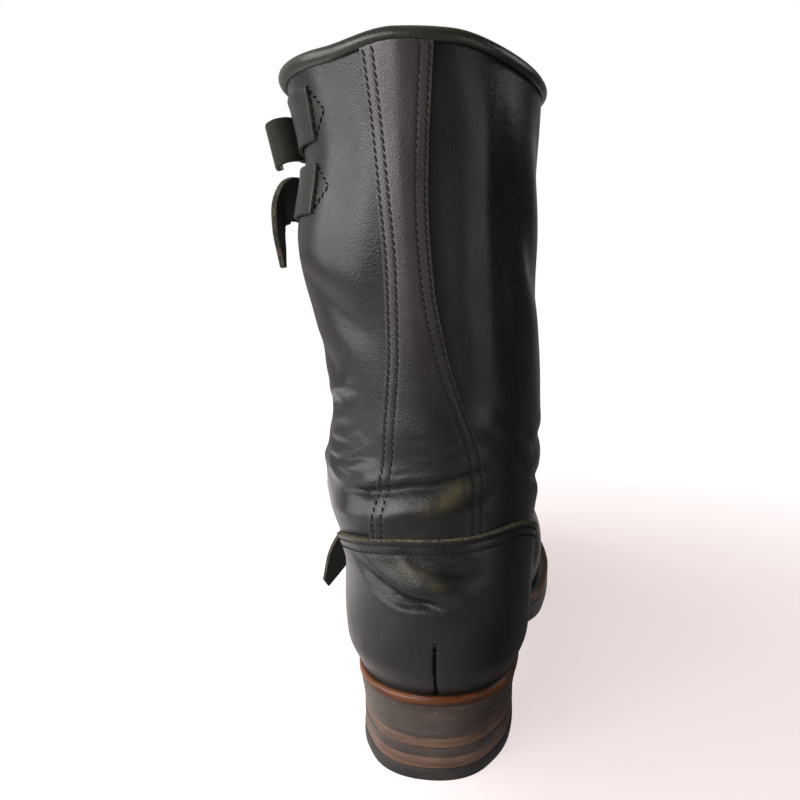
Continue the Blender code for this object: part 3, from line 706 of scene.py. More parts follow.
metal = buckle_metal()
black_thread = thread("black_waxed_thread", (0.002, 0.002, 0.002, 1), (0.008, 0.0075, 0.007, 1))
# Near-black and nearly without shine: black thread on tabs and dart, and painted shade in the dart's slit.
black_thread_and_slit_shade = thread("black_thread_and_slit_shade", (0.0004, 0.0004, 0.0004, 1), (0.0016, 0.0015, 0.0014, 1), 0.03)
welt_thread = thread("welt_thread", (0.16, 0.105, 0.050, 1), (0.36, 0.26, 0.14, 1))
insole_finish = insole_leather()
print("metal, threads and insole ready")

# %% [markdown]
# ## Making pieces
# A leather piece starts as a flat grid, like a cut hide. Its points are moved to rows on the last, doubled
# points merge into a closed seam, Solidify gives the leather its thickness and Bevel softens the cut edge.
# The modifiers are then applied, so that each piece holds the finished mesh.

# %% Helpers for pieces
SHARP = math.radians(42)
CUT_EDGE = math.radians(66)
BARE_BAND = 1.2
BARE_FADE = 0.9
# Painted shade on the welt: the crevice under the upper and the underside of its edge.
CREVICE_SHADE_EDGE = 0.95
CREVICE_SHADE_FADE = 0.9
UNDER_SHADE = 0.8
UNDER_SHADE_START = 1.4
UNDER_SHADE_FADE = 1.6


def to_frame(points):
    """Millimetres from the heel's back to metres from the heel's centre."""
    return (np.asarray(points) - np.array([0.0, HEEL_CENTRE, 0.0])) * MM


def sheet(rows):
    """Grid of faces through rows of points; doubled points are merged."""
    rows = to_frame(rows)
    builder = bmesh.new()
    bmesh.ops.create_grid(builder, x_segments=rows.shape[1] - 1, y_segments=rows.shape[0] - 1, size=0.5)
    for vert, point in zip(builder.verts, rows.reshape(-1, 3)):
        vert.co = point
    bmesh.ops.remove_doubles(builder, verts=builder.verts, dist=1e-7)
    return builder


def add_piece(name, builder, *finishes):
    mesh = bpy.data.meshes.new(name)
    builder.to_mesh(mesh)
    builder.free()
    for finish in finishes:
        mesh.materials.append(finish.material)
    piece = bpy.data.objects.new(name, mesh)
    bpy.context.scene.collection.objects.link(piece)
    return piece


def thicken(piece, thickness, back=0, rim=0, side=-1):
    """Wall inward (side -1) or outward (1); back and rim count material slots on from the front's."""
    wall = piece.modifiers.new("Wall", "SOLIDIFY")
    wall.thickness = thickness * MM
    wall.offset = side
    wall.use_even_offset = True
    wall.use_quality_normals = True
    wall.material_offset = back
    wall.material_offset_rim = rim


def soften(piece, width, segments=2, slot=-1):
    """Rounds the cut edges; slot is the finish of the rounding, or -1 for that of the faces beside it."""
    edge = piece.modifiers.new("Edge", "BEVEL")
    edge.width = width * MM
    edge.segments = segments
    edge.material = slot
    edge.limit_method = "ANGLE"
    edge.angle_limit = CUT_EDGE


Spot = namedtuple("Spot", "angle height wide tall amount")
WEAR_SPOTS = [
    Spot(2, 115, 5, 2.4, 0.7), Spot(8, 118, 5, 2.6, 0.85), Spot(13, 121.5, 5, 2.6, 0.8),
    Spot(17, 124, 4, 2.4, 0.6),
    Spot(-6, 91, 4, 1.8, 0.6), Spot(-1, 88.5, 4, 2.0, 0.75), Spot(5, 85, 4, 1.8, 0.6),
    Spot(10, 292.5, 16, 1.6, 0.9), Spot(-44, 289, 20, 2.0, 0.45), Spot(20, 133, 5, 6, 0.3),
    Spot(180, 48, 12, 12, 0.3),
]


def mesh_points(mesh):
    """Points of a mesh in the millimetres of the last."""
    flat = np.zeros(len(mesh.vertices) * 3)
    mesh.vertices.foreach_get("co", flat)
    return flat.reshape(-1, 3) / MM + np.array([0.0, HEEL_CENTRE, 0.0])


def write_values(mesh, name, values):
    layer = mesh.attributes.new(name, "FLOAT", "POINT")
    layer.data.foreach_set("value", values.astype(np.float32))


def paint(mesh, from_edge=None):
    """Writes how creased, worn and bare the leather is at each point; from_edge gives depth from a cut."""
    points = mesh_points(mesh)
    creased = relief(points)[1]
    angle = around(points)
    worn = np.zeros(len(points))
    for spot in WEAR_SPOTS:
        turn = (angle - spot.angle + 180) % 360 - 180
        worn += spot.amount * bell(turn, spot.wide) * bell(points[:, 2] - spot.height, spot.tall)
    bare = np.zeros(len(points))
    if from_edge:
        bare = ease((BARE_BAND - from_edge(points)) / BARE_FADE)
    write_values(mesh, "crease", creased)
    write_values(mesh, "wear_and_welt_shading", np.clip(worn, 0, 1))
    write_values(mesh, "bare", bare)


def paint_welt(mesh):
    """Writes the welt's wear and painted light: bright on the outer corner, painted shade above and below it.
    """
    points = mesh_points(mesh)
    rise = points[:, 2] - seat(points[:, 1])
    # Painted shade: darker on the underside of the welt's edge, nearly black in the crevice above.
    under = 1 - UNDER_SHADE * ease((-UNDER_SHADE_START - rise) / UNDER_SHADE_FADE)
    write_values(mesh, "wear_and_welt_shading", ease((CREVICE_SHADE_EDGE - rise) / CREVICE_SHADE_FADE) * under)


def finish_piece(piece, slot, *nodes, from_edge=None):
    """Applies the modifiers, sets shading and painted values, and puts the piece on the boot."""
    graph = bpy.context.evaluated_depsgraph_get()
    mesh = bpy.data.meshes.new_from_object(piece.evaluated_get(graph))
    piece.modifiers.clear()
    piece.data = mesh
    mesh.shade_smooth()
    mesh.set_sharp_from_angle(angle=SHARP)
    if slot == "black_leather":
        paint(mesh, from_edge)
    if slot == "welt_leather":
        paint_welt(mesh)
    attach(piece, "root")
    if nodes:
        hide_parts(*nodes)
    mesh.calc_loop_triangles()
    print(piece.name, len(mesh.loop_triangles), "triangles")
    return piece


# %% [markdown]
# ## The upper
# Vamp, quarters and shaft are one hollow wall, open at the collar and underneath. Rings run round it from
# the feather line at the welt (level 0) past the ankle (level 1) up to the collar (level 2). The quarters
# lie over the vamp along a sewn seam, so a small step follows that line across the instep.

# %% Rings of the upper
WALL = 2.4
COLLAR_HEIGHT = 290.5
ANKLE_HEIGHT = 96.0
ANKLE_SLOPE = 0.215
UPPER_COLUMNS = 200
FOOT_ROWS = 66
SHAFT_ROWS = 156
BACK_FINER = 0.3
ANKLE_FINER = 1.35

RingPlan = namedtuple("RingPlan", "level centre_x centre_y across along")
RING_PLAN = [RingPlan(0, -2, 145, 130, 320), RingPlan(1, -8, 68, 130, 170), RingPlan(2, -14, 68, 130, 170)]
CollarDip = namedtuple("CollarDip", "start run drop")
COLLAR_DIPS = [CollarDip(6, 42, 7.8), CollarDip(-14, -28, 4.4)]

VAMP_SEAM_START = 112.0
VAMP_SEAM_LOW = 54.0
VAMP_SEAM_RISE = 58.0
VAMP_STEP = 0.9
VAMP_SEAM_FADE = 6.0


def collar_height(x):
    return COLLAR_HEIGHT - sum(dip.drop * ease((x - dip.start) / dip.run) for dip in COLLAR_DIPS)


def ring_height(x, y, level):
    base = seat(y) + EDGE_GAP
    ankle = base + (ANKLE_HEIGHT + ANKLE_SLOPE * y - base) * np.clip(level, 0, 1)
    return ankle + (collar_height(x) - ankle) * np.clip(level - 1, 0, 1)


def rings(levels, columns, height=ring_height):
    """Closed rings of points on the last, one row for each level."""
    turn = np.linspace(0, 2 * math.pi, columns + 1)
    level, angle = np.meshgrid(levels, turn - BACK_FINER * np.sin(turn), indexing="ij")
    level = level.ravel()
    table = np.array(RING_PLAN, float).T
    plan = [np.interp(level, table[0], column) for column in table[1:]]
    path = plan_rays(angle.ravel(), plan[:2], lambda x, y: height(x, y, level), plan[2:])
    return path, (len(levels), columns + 1, 3)


def vamp_seam(angle):
    """Height of the seam where the quarters lie on the vamp."""
    share = (np.abs(angle) - VAMP_SEAM_START) / (180 - VAMP_SEAM_START)
    return VAMP_SEAM_LOW + VAMP_SEAM_RISE * ease(share)


def make_upper():
    shaft_levels = 1 + np.linspace(0, 1, SHAFT_ROWS) ** ANKLE_FINER
    levels = np.concatenate([np.linspace(0, 1, FOOT_ROWS, endpoint=False), shaft_levels])
    path, shape = rings(levels, UPPER_COLUMNS)
    points = meet(path, shape[0] * shape[1])
    angle = around(points)
    step = VAMP_STEP * ease((points[:, 2] - vamp_seam(angle)) / 2 + 0.5) - VAMP_STEP
    step *= ease((np.abs(angle) - VAMP_SEAM_START) / VAMP_SEAM_FADE)
    points = settle(points) + outward(points) * step[:, None]
    piece = add_piece("upper_leather", sheet(points.reshape(shape)), shaft_black, lined)
    thicken(piece, WALL, back=1)
    return finish_piece(piece, "black_leather", "upper")


make_upper()

# %% [markdown]
# ## Counter, back strip and collar binding
# The counter is a heavy cover sewn over the heel, with a raw cut edge on top and a short dart at the bottom.
# The back strip is an hourglass that hides the shaft's closing seam. Both lie on the upper, so they use the
# same last, grown by their own thickness. The binding is folded over the rim and is a closed section.

# %% Counter
OVERLAY = 1.5
OVERLAY_TOP = 1.75
COUNTER_WALL = 1.9
COUNTER_CURL = 0.5
COUNTER_CURL_RUN = 3.0
RAW_ROUND = 0.6
GROOVE = 0.24
GROOVE_HALF = 0.75
COUNTER_AXIS = (-3.0, 62.0)
COUNTER_COLUMNS = 200
COUNTER_ROWS = 78
COUNTER_STITCHES = (2.6, 6.0)
DART_X = 2.8
DART_TOP = 61.5
DART_LOW = 37.0
DART_DEPTH = 0.8
DART_WIDTH = 0.8
DART_FADE = 5.0
HEEL_BACK = 20.0
COUNTER_GAP = 0.2

CounterEdge = namedtuple("CounterEdge", "angle height")
COUNTER_EDGE = [
    CounterEdge(-116, 58), CounterEdge(-92, 74.5), CounterEdge(-55, 92), CounterEdge(-30, 98.6),
    CounterEdge(-4, 102.4), CounterEdge(20, 103.2), CounterEdge(40, 103.8), CounterEdge(64, 98.5),
    CounterEdge(92, 85), CounterEdge(116, 62),
]
counter_edge = curves(COUNTER_EDGE)["height"]


def below_counter_edge(points):
    return counter_edge(around(points)) - points[:, 2]


def make_counter():
    angles = np.linspace(COUNTER_EDGE[0].angle, COUNTER_EDGE[-1].angle, COUNTER_COLUMNS + 1)
    share, angle = np.meshgrid(np.linspace(0, 1, COUNTER_ROWS + 1), angles, indexing="ij")
    top = counter_edge(angle.ravel())

    def height(x, y):
        low = seat(y) + COUNTER_GAP
        return low + (top - low) * share.ravel()

    points = meet(plan_rays(np.radians(angle.ravel()), COUNTER_AXIS, height), share.size, OVERLAY_TOP)
    sunk = sum(GROOVE * bell(top - points[:, 2] - drop, GROOVE_HALF) for drop in COUNTER_STITCHES)
    dart = ease((DART_TOP - points[:, 2]) / DART_FADE) * bell(points[:, 0] - DART_X, DART_WIDTH)
    dart *= points[:, 1] < HEEL_BACK
    curl = COUNTER_CURL * ease(1 - (top - points[:, 2]) / COUNTER_CURL_RUN)
    points = settle(points) + outward(points) * (curl - sunk - DART_DEPTH * dart)[:, None]
    piece = add_piece("counter_leather", sheet(points.reshape(*share.shape, 3)), trim_black, raw)
    thicken(piece, COUNTER_WALL, rim=1)
    soften(piece, RAW_ROUND, slot=1)
    return finish_piece(piece, "black_leather", "counter", from_edge=below_counter_edge)


make_counter()

# %% Back strip
STRIP_COLUMNS = 60
STRIP_ROWS = 200
STRIP_STITCHES = (1.5, 5.0)
STRIP_TOP = 1.7
STRIP_ENDS = 6
STRIP_TUCKED = 1.0
STRIP_UNDER_BINDING = 0.4
STRIP_RIDGE = 1.7
STRIP_RIDGE_LOW = 120.0
STRIP_RIDGE_RUN = 60.0
STRIP_RIDGE_TOP = 1.02
STRIP_RIDGE_CREST = 0.2

StripEdge = namedtuple("StripEdge", "height outer inner")
STRIP = [
    StripEdge(98, -24.6, 21.0), StripEdge(118, -22.6, 21.2), StripEdge(132, -20.8, 19.4),
    StripEdge(152, -19.2, 13.0), StripEdge(174, -18.2, 6.2), StripEdge(203, -18.4, 0.6),
    StripEdge(234, -21.0, -1.4), StripEdge(290, -27.0, 0.4),
]
BINDING_DROP = 3.6
strip_edge = curves(STRIP)


def strip_place(share, x, level):
    """Points on the back of the shaft at x, a share of the way from the counter to the binding."""
    low = STRIP[0].height
    high = COLLAR_HEIGHT - BINDING_DROP
    angle = np.degrees(np.arctan2(x - COUNTER_AXIS[0], COUNTER_AXIS[1]))
    foot_end = counter_edge(angle) - STRIP_TUCKED - low
    top_end = collar_height(x) - COLLAR_HEIGHT + STRIP_UNDER_BINDING
    z = low + (high - low) * share
    z = z + foot_end * ease(1 - STRIP_ENDS * share) + top_end * ease(1 - STRIP_ENDS * (1 - share))
    return meet(lambda t: (x, COUNTER_AXIS[1] - SEARCH_REACH * t, z), len(x), level)


def strip_height(share):
    return STRIP[0].height + (COLLAR_HEIGHT - BINDING_DROP - STRIP[0].height) * share


def strip_sides(share):
    """X of the outer and of the inner edge."""
    height = strip_height(share)
    return strip_edge["outer"](height), strip_edge["inner"](height)


def strip_ridge(share, x):
    """Soft fold that runs up the middle of the strip."""
    outer, inner = strip_sides(share)
    half = (inner - outer) / 2
    off = np.hypot((x - outer - half) / half, STRIP_RIDGE_CREST)
    grown = ease((strip_height(share) - STRIP_RIDGE_LOW) / STRIP_RIDGE_RUN)
    return STRIP_RIDGE * grown * (STRIP_RIDGE_TOP - off)


def make_back_strip():
    columns = np.linspace(0, 1, STRIP_COLUMNS + 1)
    share, across = np.meshgrid(np.linspace(0, 1, STRIP_ROWS + 1), columns, indexing="ij")
    share = share.ravel()
    outer, inner = strip_sides(share)
    x = outer + (inner - outer) * across.ravel()
    points = strip_place(share, x, STRIP_TOP)
    sunk = np.zeros(len(x))
    for inset in STRIP_STITCHES:
        sunk += GROOVE * (bell(x - outer - inset, GROOVE_HALF) + bell(inner - x - inset, GROOVE_HALF))
    points = settle(points) + outward(points) * (strip_ridge(share, x) - sunk)[:, None]
    piece = add_piece("back_strip_leather", sheet(points.reshape(*across.shape, 3)), strip_black, raw)
    thicken(piece, OVERLAY, rim=1)
    soften(piece, RAW_ROUND, slot=1)
    return finish_piece(piece, "black_leather", "back_strip")


make_back_strip()

# %% Collar binding
BINDING_COLUMNS = 200
BindingPoint = namedtuple("BindingPoint", "grown rise")
BINDING = [
    BindingPoint(0.2, -3.6), BindingPoint(1.0, -3.5), BindingPoint(1.7, -3.0), BindingPoint(2.1, -2.2),
    BindingPoint(2.2, -1.3), BindingPoint(2.1, -0.4), BindingPoint(1.7, 0.5), BindingPoint(1.0, 1.4),
    BindingPoint(0.1, 2.0), BindingPoint(-1.2, 2.3), BindingPoint(-2.6, 2.3), BindingPoint(-3.9, 1.7),
    BindingPoint(-4.8, 0.6), BindingPoint(-5.2, -0.8), BindingPoint(-5.1, -2.2), BindingPoint(-4.6, -3.2),
    BindingPoint(-3.4, -3.6), BindingPoint(-2.6, -3.6), BindingPoint(-2.6, 0.0), BindingPoint(-1.2, 0.4),
    BindingPoint(0.1, 0.0),
]


def make_binding():
    rows = []
    for point in BINDING + BINDING[:1]:
        path, shape = rings([2.0], BINDING_COLUMNS, lambda x, y, level: collar_height(x) + point.rise)
        rows.append(settle(meet(path, shape[1], point.grown)))
    builder = sheet(np.array(rows))
    bmesh.ops.recalc_face_normals(builder, faces=builder.faces)
    piece = add_piece("collar_binding_leather", builder, rim_black)
    return finish_piece(piece, "black_leather", "collar_binding")


make_binding()

# %% [markdown]
# ## Straps, tabs and buckles
# Each strap is sewn to the boot at one end, passes up through its buckle and ends in a free tail. Two sit
# on the outer side of the shaft and one crosses the instep. The wrapped part lies on the last, and the tail
# is a short table: how far each point has gone on along the strap, out from the leather and down.

# %% Strap routes
STRAP_WIDTH = 20.0
STRAP = 2.4
STRAP_REST = 0.5
STRAP_AT_HINGE = 4.9
TAB = 1.8
TAB_TOP = 2.3
STRAP_ROUND = 0.4
TAB_ROUND = 0.35
STRAP_COLUMNS = 12
STRAP_ROWS = 46
BUCKLE_ROWS = 12
TAIL_ROWS = 30
HINGE_STEP = 4.0

StrapRoute = namedtuple("StrapRoute", "name height start front hinge tab_end")
SHAFT_STRAPS = [
    StrapRoute("shaft_strap_upper", 267.0, -150, -109, -95, -36.5),
    StrapRoute("shaft_strap_lower", 239.0, -150, -109, -95, -36.5),
]
INSTEP_STRAP = StrapRoute("instep_strap", 0.0, -125, 48, 68, 122)
SHAFT_AXIS = (-12.0, 68.0)
INSTEP_CENTRE = (-2.0, 112.0, 58.0)
INSTEP_TILT = math.radians(44)

Tail = namedtuple("Tail", "on out down lean_on lean_out half")
TAILS = {
    "shaft_strap_upper": [
        Tail(0, 0, 0, 0, 0, 10), Tail(4, 0.8, 0, 0, 0, 10), Tail(8, 3.0, 0, 0, 0, 10),
        Tail(10, 7.0, 0, 0, 0, 10), Tail(9, 11.0, 0.3, 0, 0, 10), Tail(5, 13.8, 0.6, 0, 0, 9.8),
        Tail(-1, 15.0, 1.0, 0, 0, 9.4), Tail(-5, 15.4, 1.2, 0, 0, 8.4),
    ],
    "shaft_strap_lower": [
        Tail(0, 0, 0, 0, 0, 10), Tail(4, 0.8, 0, 0, 0, 10), Tail(8, 3.0, 0.5, 0.1, 0, 10),
        Tail(10, 6.4, 3.0, 0.5, 0, 10), Tail(9, 9.0, 9.0, 1.6, 0, 9.4), Tail(7, 9.8, 17.0, 5.0, -0.4, 7.6),
        Tail(6, 9.2, 25.0, 9.0, -0.6, 4.4), Tail(6, 8.4, 32.0, 9.0, -0.6, 1.6),
    ],
    "instep_strap": [
        Tail(0, 0, 0, 0, 0, 10), Tail(5, 1.0, 0, 0, 0, 10), Tail(10, 4.2, -1, 0, 0, 10),
        Tail(14, 9.6, -3, -0.1, 0.2, 10), Tail(17, 15.2, -2.4, -0.2, 0.4, 10),
        Tail(19, 18.8, 1.8, -0.3, 0.5, 9.6), Tail(20.5, 23.2, 9, -0.3, 0.6, 7.6),
        Tail(22.5, 28, 20, -0.3, 0.6, 2.6),
    ],
}


def shaft_wrap(route, angle, rise, level):
    """Points over the shaft at plan angles, rise above the strap's middle."""
    path = plan_rays(np.radians(angle), SHAFT_AXIS, lambda x, y: route.height + rise)
    return meet(path, len(angle), level)


def instep_wrap(route, angle, rise, level):
    """Points over the instep at angles from its top, rise across the strap's leaning plane."""
    turn = np.radians(angle)
    up = np.array([0.0, math.cos(INSTEP_TILT), math.sin(INSTEP_TILT)])
    aside = np.array([0.0, -math.sin(INSTEP_TILT), math.cos(INSTEP_TILT)])
    start = np.array(INSTEP_CENTRE) + aside * np.reshape(rise, (-1, 1))
    ray = up * np.cos(turn)[:, None] - np.array([1.0, 0.0, 0.0]) * np.sin(turn)[:, None]
    reach = SEARCH_REACH * ray

    def path(t):
        return tuple(start[:, axis] + reach[:, axis] * t for axis in range(3))

    return meet(path, len(angle), level)


def unit(vector):
    return vector / np.linalg.norm(vector)


def at(route, wrap, angle, rise, level):
    """One point of a strap's route."""
    return wrap(route, np.array([angle]), np.array([rise]), level)[0]


STRAPS = [(route, shaft_wrap) for route in SHAFT_STRAPS] + [(INSTEP_STRAP, instep_wrap)]
print("strap routes:", [route.name for route, wrap in STRAPS])


# %% Straps with free tails
def make_strap(route, wrap):
    half = STRAP_WIDTH / 2
    rises = np.linspace(half, -half, STRAP_COLUMNS + 1)
    angles = np.concatenate([
        np.linspace(route.start, route.front, STRAP_ROWS, endpoint=False),
        np.linspace(route.front, route.hinge, BUCKLE_ROWS),
    ])
    share = (angles - route.front) / (route.hinge - route.front)
    levels = STRAP_REST + (STRAP_AT_HINGE - STRAP_REST) * ease(share)
    angle, rise = np.meshgrid(angles, rises, indexing="ij")
    level = np.repeat(levels, len(rises))
    laid = settle(wrap(route, angle.ravel(), rise.ravel(), level)).reshape(*angle.shape, 3)
    hinge = laid[-1, STRAP_COLUMNS // 2]
    along = unit(at(route, wrap, route.hinge, 0, STRAP_AT_HINGE)
                 - at(route, wrap, route.hinge - HINGE_STEP, 0, STRAP_AT_HINGE))
    aside = unit(at(route, wrap, route.hinge, half, 0) - at(route, wrap, route.hinge, -half, 0))
    out = unit(np.cross(along, aside))
    out *= np.sign(out @ outward(hinge[None])[0])
    table = np.array(TAILS[route.name], float)
    steps = np.arange(len(table))
    fine = np.linspace(0, len(table) - 1, TAIL_ROWS + 1)[1:]
    tail = Tail(*[Curve(steps, column)(fine)[:, None, None] for column in table.T])
    middle = hinge + along * tail.on + out * tail.out - np.array([0.0, 0.0, 1.0]) * tail.down
    lean = aside + along * tail.lean_on + out * tail.lean_out
    lean = lean / np.linalg.norm(lean, axis=-1, keepdims=True)
    free = middle + lean * (rises / half)[None, :, None] * tail.half
    builder = sheet(np.concatenate([laid, free]))
    piece = add_piece(route.name + "_leather", builder, trim_black, flesh, strap_edge)
    thicken(piece, STRAP, back=1, rim=2, side=1)
    soften(piece, STRAP_ROUND)
    finish_piece(piece, "black_leather", route.name)


for strap_route, strap_wrap in STRAPS:
    make_strap(strap_route, strap_wrap)

# %% Buckle tabs
TAB_START = 0.06
TAB_SKIVED = 1.0
TAB_SKIVE_START = 0.7
TAB_COLUMNS = 8
TAB_ROWS = 40


def make_tab(route, wrap):
    half = STRAP_WIDTH / 2
    start = route.hinge + (route.tab_end - route.hinge) * TAB_START
    angles = np.linspace(start, route.tab_end, TAB_ROWS + 1)
    angle, rise = np.meshgrid(angles, np.linspace(half, -half, TAB_COLUMNS + 1), indexing="ij")
    share = (angle.ravel() - start) / (route.tab_end - start)
    level = TAB_TOP - TAB_SKIVED * ease((share - TAB_SKIVE_START) / (1 - TAB_SKIVE_START))
    points = settle(wrap(route, angle.ravel(), rise.ravel(), level)).reshape(*angle.shape, 3)
    piece = add_piece(route.name + "_tab_leather", sheet(points), trim_black, strap_edge)
    thicken(piece, TAB, rim=1)
    soften(piece, TAB_ROUND)
    finish_piece(piece, "black_leather", route.name + "_tab")


for strap_route, strap_wrap in STRAPS:
    make_tab(strap_route, strap_wrap)

# %% Buckle frames and prongs
WIRE = 1.3
PRONG = 0.95
HINGE_BAR = 2.3
FRONT_BAR = 5.6
FRAME_HALF = 12.4
CORNER = 3.0
CORNER_STEPS = 5
PRONG_STEPS = 24
ProngPoint = namedtuple("ProngPoint", "share height")
PRONG_PATH = [
    ProngPoint(0.12, 2.3), ProngPoint(0.2, 3.0), ProngPoint(0.36, 5.4), ProngPoint(0.56, 8.2),
    ProngPoint(0.8, 8.8), ProngPoint(1.0, 8.7), ProngPoint(1.16, 8.1),
]


def make_wire(name, points, radius, cyclic, node):
    """Round bar bent along points."""
    curve = bpy.data.curves.new(name, "CURVE")
    curve.dimensions = "3D"
    curve.bevel_depth = radius * MM
    curve.bevel_resolution = 4
    curve.use_fill_caps = True
    spline = curve.splines.new("POLY")
    spline.points.add(len(points) - 1)
    for target, point in zip(spline.points, to_frame(points)):
        target.co = (*point, 1.0)
    spline.use_cyclic_u = cyclic
    bent = bpy.data.objects.new(name + "_curve", curve)
    bpy.context.scene.collection.objects.link(bent)
    graph = bpy.context.evaluated_depsgraph_get()
    mesh = bpy.data.meshes.new_from_object(bent.evaluated_get(graph))
    bpy.data.objects.remove(bent)
    mesh.materials.clear()
    mesh.materials.append(metal.material)
    piece = bpy.data.objects.new(name, mesh)
    bpy.context.scene.collection.objects.link(piece)
    finish_piece(piece, "steel", node)


def make_buckle(route, wrap):
    hinge = at(route, wrap, route.hinge, 0.0, HINGE_BAR)
    front = at(route, wrap, route.front, 0.0, FRONT_BAR)
    half = STRAP_WIDTH / 2
    aside = unit(at(route, wrap, route.hinge, half, 0.0) - at(route, wrap, route.hinge, -half, 0.0))
    forward = unit(front - hinge)
    corners = []
    for bar, way, ends in ((hinge, -1, (1, -1)), (front, 1, (-1, 1))):
        for end in ends:
            centre = bar + aside * (FRAME_HALF - CORNER) * end - forward * CORNER * way
            turns = np.linspace(0, math.pi / 2, CORNER_STEPS)
            if end * way > 0:
                turns = turns[::-1]
            for turn in turns:
                spoke = aside * end * math.cos(turn) + forward * way * math.sin(turn)
                corners.append(centre + CORNER * spoke)
    make_wire(route.name + "_buckle_frame", corners, WIRE, True, route.name + "_buckle")
    shares = [point.share for point in PRONG_PATH]
    heights = Curve(shares, [point.height for point in PRONG_PATH])
    prong = []
    for share in np.linspace(shares[0], shares[-1], PRONG_STEPS):
        angle = route.hinge + (route.front - route.hinge) * share
        prong.append(at(route, wrap, angle, 0.0, heights(share)))
    make_wire(route.name + "_buckle_prong", prong, PRONG, False, route.name + "_prong")


for strap_route, strap_wrap in STRAPS:
    make_buckle(strap_route, strap_wrap)

# %% [markdown]
# ## Welt and soles
# The welt is a strip sewn round the bottom of the upper. Under it lie the midsole and the outsole, and all
# three share one outline: the feather line moved outward, further at the forefoot than at the heel.

# %% Outline of the sole
SOLE_AROUND = 260
WELT = 3.4
WELT_INSIDE = 9.0
MIDSOLE = 4.45
OUTSOLE = 4.55
WELT_GLUE = 0.2
SOLE_GLUE = 0.1
HEEL_GLUE = 0.05
MIDSOLE_DROP = WELT + WELT_GLUE
OUTSOLE_DROP = MIDSOLE_DROP + MIDSOLE + SOLE_GLUE
SOLE_DROP = OUTSOLE_DROP + OUTSOLE + HEEL_GLUE
PLATE_ROUND = 0.5
LIFT_ROUND = 0.25

Reach = namedtuple("Reach", "station reach")
REACH = [
    Reach(-10, 3.9), Reach(4, 3.6), Reach(30, 2.6), Reach(70, 2.6), Reach(120, 3.6), Reach(165, 5.6),
    Reach(300, 6.2),
]
reach = curves(REACH)["reach"]


def offset_in_plan(loop, distance):
    """A closed loop moved outward in plan by distance, a number or one for each point."""
    ahead = np.roll(loop[:-1], -1, axis=0) - np.roll(loop[:-1], 1, axis=0)
    ahead = np.vstack([ahead, ahead[:1]])
    normal = np.stack([ahead[:, 1], -ahead[:, 0]], axis=1)
    normal /= np.linalg.norm(normal, axis=1, keepdims=True)
    moved = loop.copy()
    moved[:, :2] += normal * np.reshape(distance, (-1, 1))
    return moved


feather_path, feather_shape = rings([0.0], SOLE_AROUND)
feather = meet(feather_path, feather_shape[1])
sole_edge = offset_in_plan(feather, reach(feather[:, 1]))
print("sole length:", round(float(np.ptp(sole_edge[:, 1])), 1), "mm")

# %% Trim of soles and heel
BREAST = 78.0
HeelTrim = namedtuple("HeelTrim", "height side back")
HEEL_TRIM = [
    HeelTrim(0, 2.4, 0.3), HeelTrim(9, 2.6, 0.7), HeelTrim(18, 2.5, 1.0), HeelTrim(22.5, 2.2, 1.0),
    HeelTrim(27, 1.6, 0.8), HeelTrim(31.5, 0.7, 0.3), HeelTrim(36, 0.0, 0.0),
]
TRIM_BEHIND = 16.0
TRIM_BEHIND_RUN = 18.0
TRIM_WAIST_RUN = 40.0
heel_trim = curves(HEEL_TRIM)


def trimmed(height, lip=0.0):
    """The welt's edge trimmed in round the heel as it is at a height; the forefoot keeps its edge."""
    station = sole_edge[:, 1]
    side = heel_trim["side"](height)
    behind = (heel_trim["back"](height) - side) * ease((TRIM_BEHIND - station) / TRIM_BEHIND_RUN)
    waist = 1 - ease((station - BREAST) / TRIM_WAIST_RUN)
    return offset_in_plan(sole_edge, lip - (side + behind) * waist)


print("heel width on the floor:", round(float(np.ptp(trimmed(0.0)[sole_edge[:, 1] < BREAST, 0])), 1), "mm")

# %% Welt
WeltPoint = namedtuple("WeltPoint", "share out rise")
WELT_SECTION = [
    WeltPoint(0, -WELT_INSIDE, 0.0), WeltPoint(0, -1.0, 1.1), WeltPoint(0, 0.6, 1.3),
    WeltPoint(0.3, 0.7, 1.0), WeltPoint(0.7, 0.3, 0.45), WeltPoint(1, -0.7, 0.15),
    WeltPoint(1, -0.2, -0.15), WeltPoint(1, 0.05, -0.8), WeltPoint(1, 0.05, -2.6),
    WeltPoint(1, -0.2, -3.3), WeltPoint(0, -WELT_INSIDE, -3.5),
]


def welt_loop(point):
    loop = offset_in_plan(feather, point.out + point.share * reach(feather[:, 1]))
    loop[:, 2] = seat(loop[:, 1]) + point.rise
    return loop


def make_welt():
    rows = [welt_loop(point) for point in WELT_SECTION + WELT_SECTION[:1]]
    builder = sheet(np.array(rows))
    bmesh.ops.recalc_face_normals(builder, faces=builder.faces)
    finish_piece(add_piece("welt_strip", builder, welt_brown), "welt_leather", "welt")


make_welt()

# %% Midsole and outsole
PLATE_COLUMNS = 10


def plate_rows(loop, drop):
    """Rows between the two sides of a closed loop, drop below the top of the welt."""
    half = (len(loop) - 1) // 2
    share = np.linspace(0, 1, PLATE_COLUMNS + 1)[:, None]
    rows = []
    for i in range(half + 1):
        row = loop[len(loop) - 1 - i] * (1 - share) + loop[i] * share
        row[:, 2] = seat(row[:, 1]) - drop
        rows.append(row)
    return np.array(rows)


def make_plate(name, node, drop, thickness, under):
    outline = trimmed(seat(HEEL_CENTRE) - drop - thickness / 2)
    piece = add_piece(name, sheet(plate_rows(outline, drop)), edge_dark, under)
    thicken(piece, thickness, back=1)
    soften(piece, PLATE_ROUND, 3)
    finish_piece(piece, "edge_dye", node)


make_plate("midsole_leather", "midsole", MIDSOLE_DROP, MIDSOLE, edge_dark)
make_plate("outsole_leather", "outsole", OUTSOLE_DROP, OUTSOLE, tread_tan)

# %% [markdown]
# ## Stacked heel
# Leather lifts are glued in a stack, trimmed together and dyed, so their sides run on in one slightly hollow
# line. Each lift keeps its own piece and its own tiny lip, because worn lifts never stay quite flush.

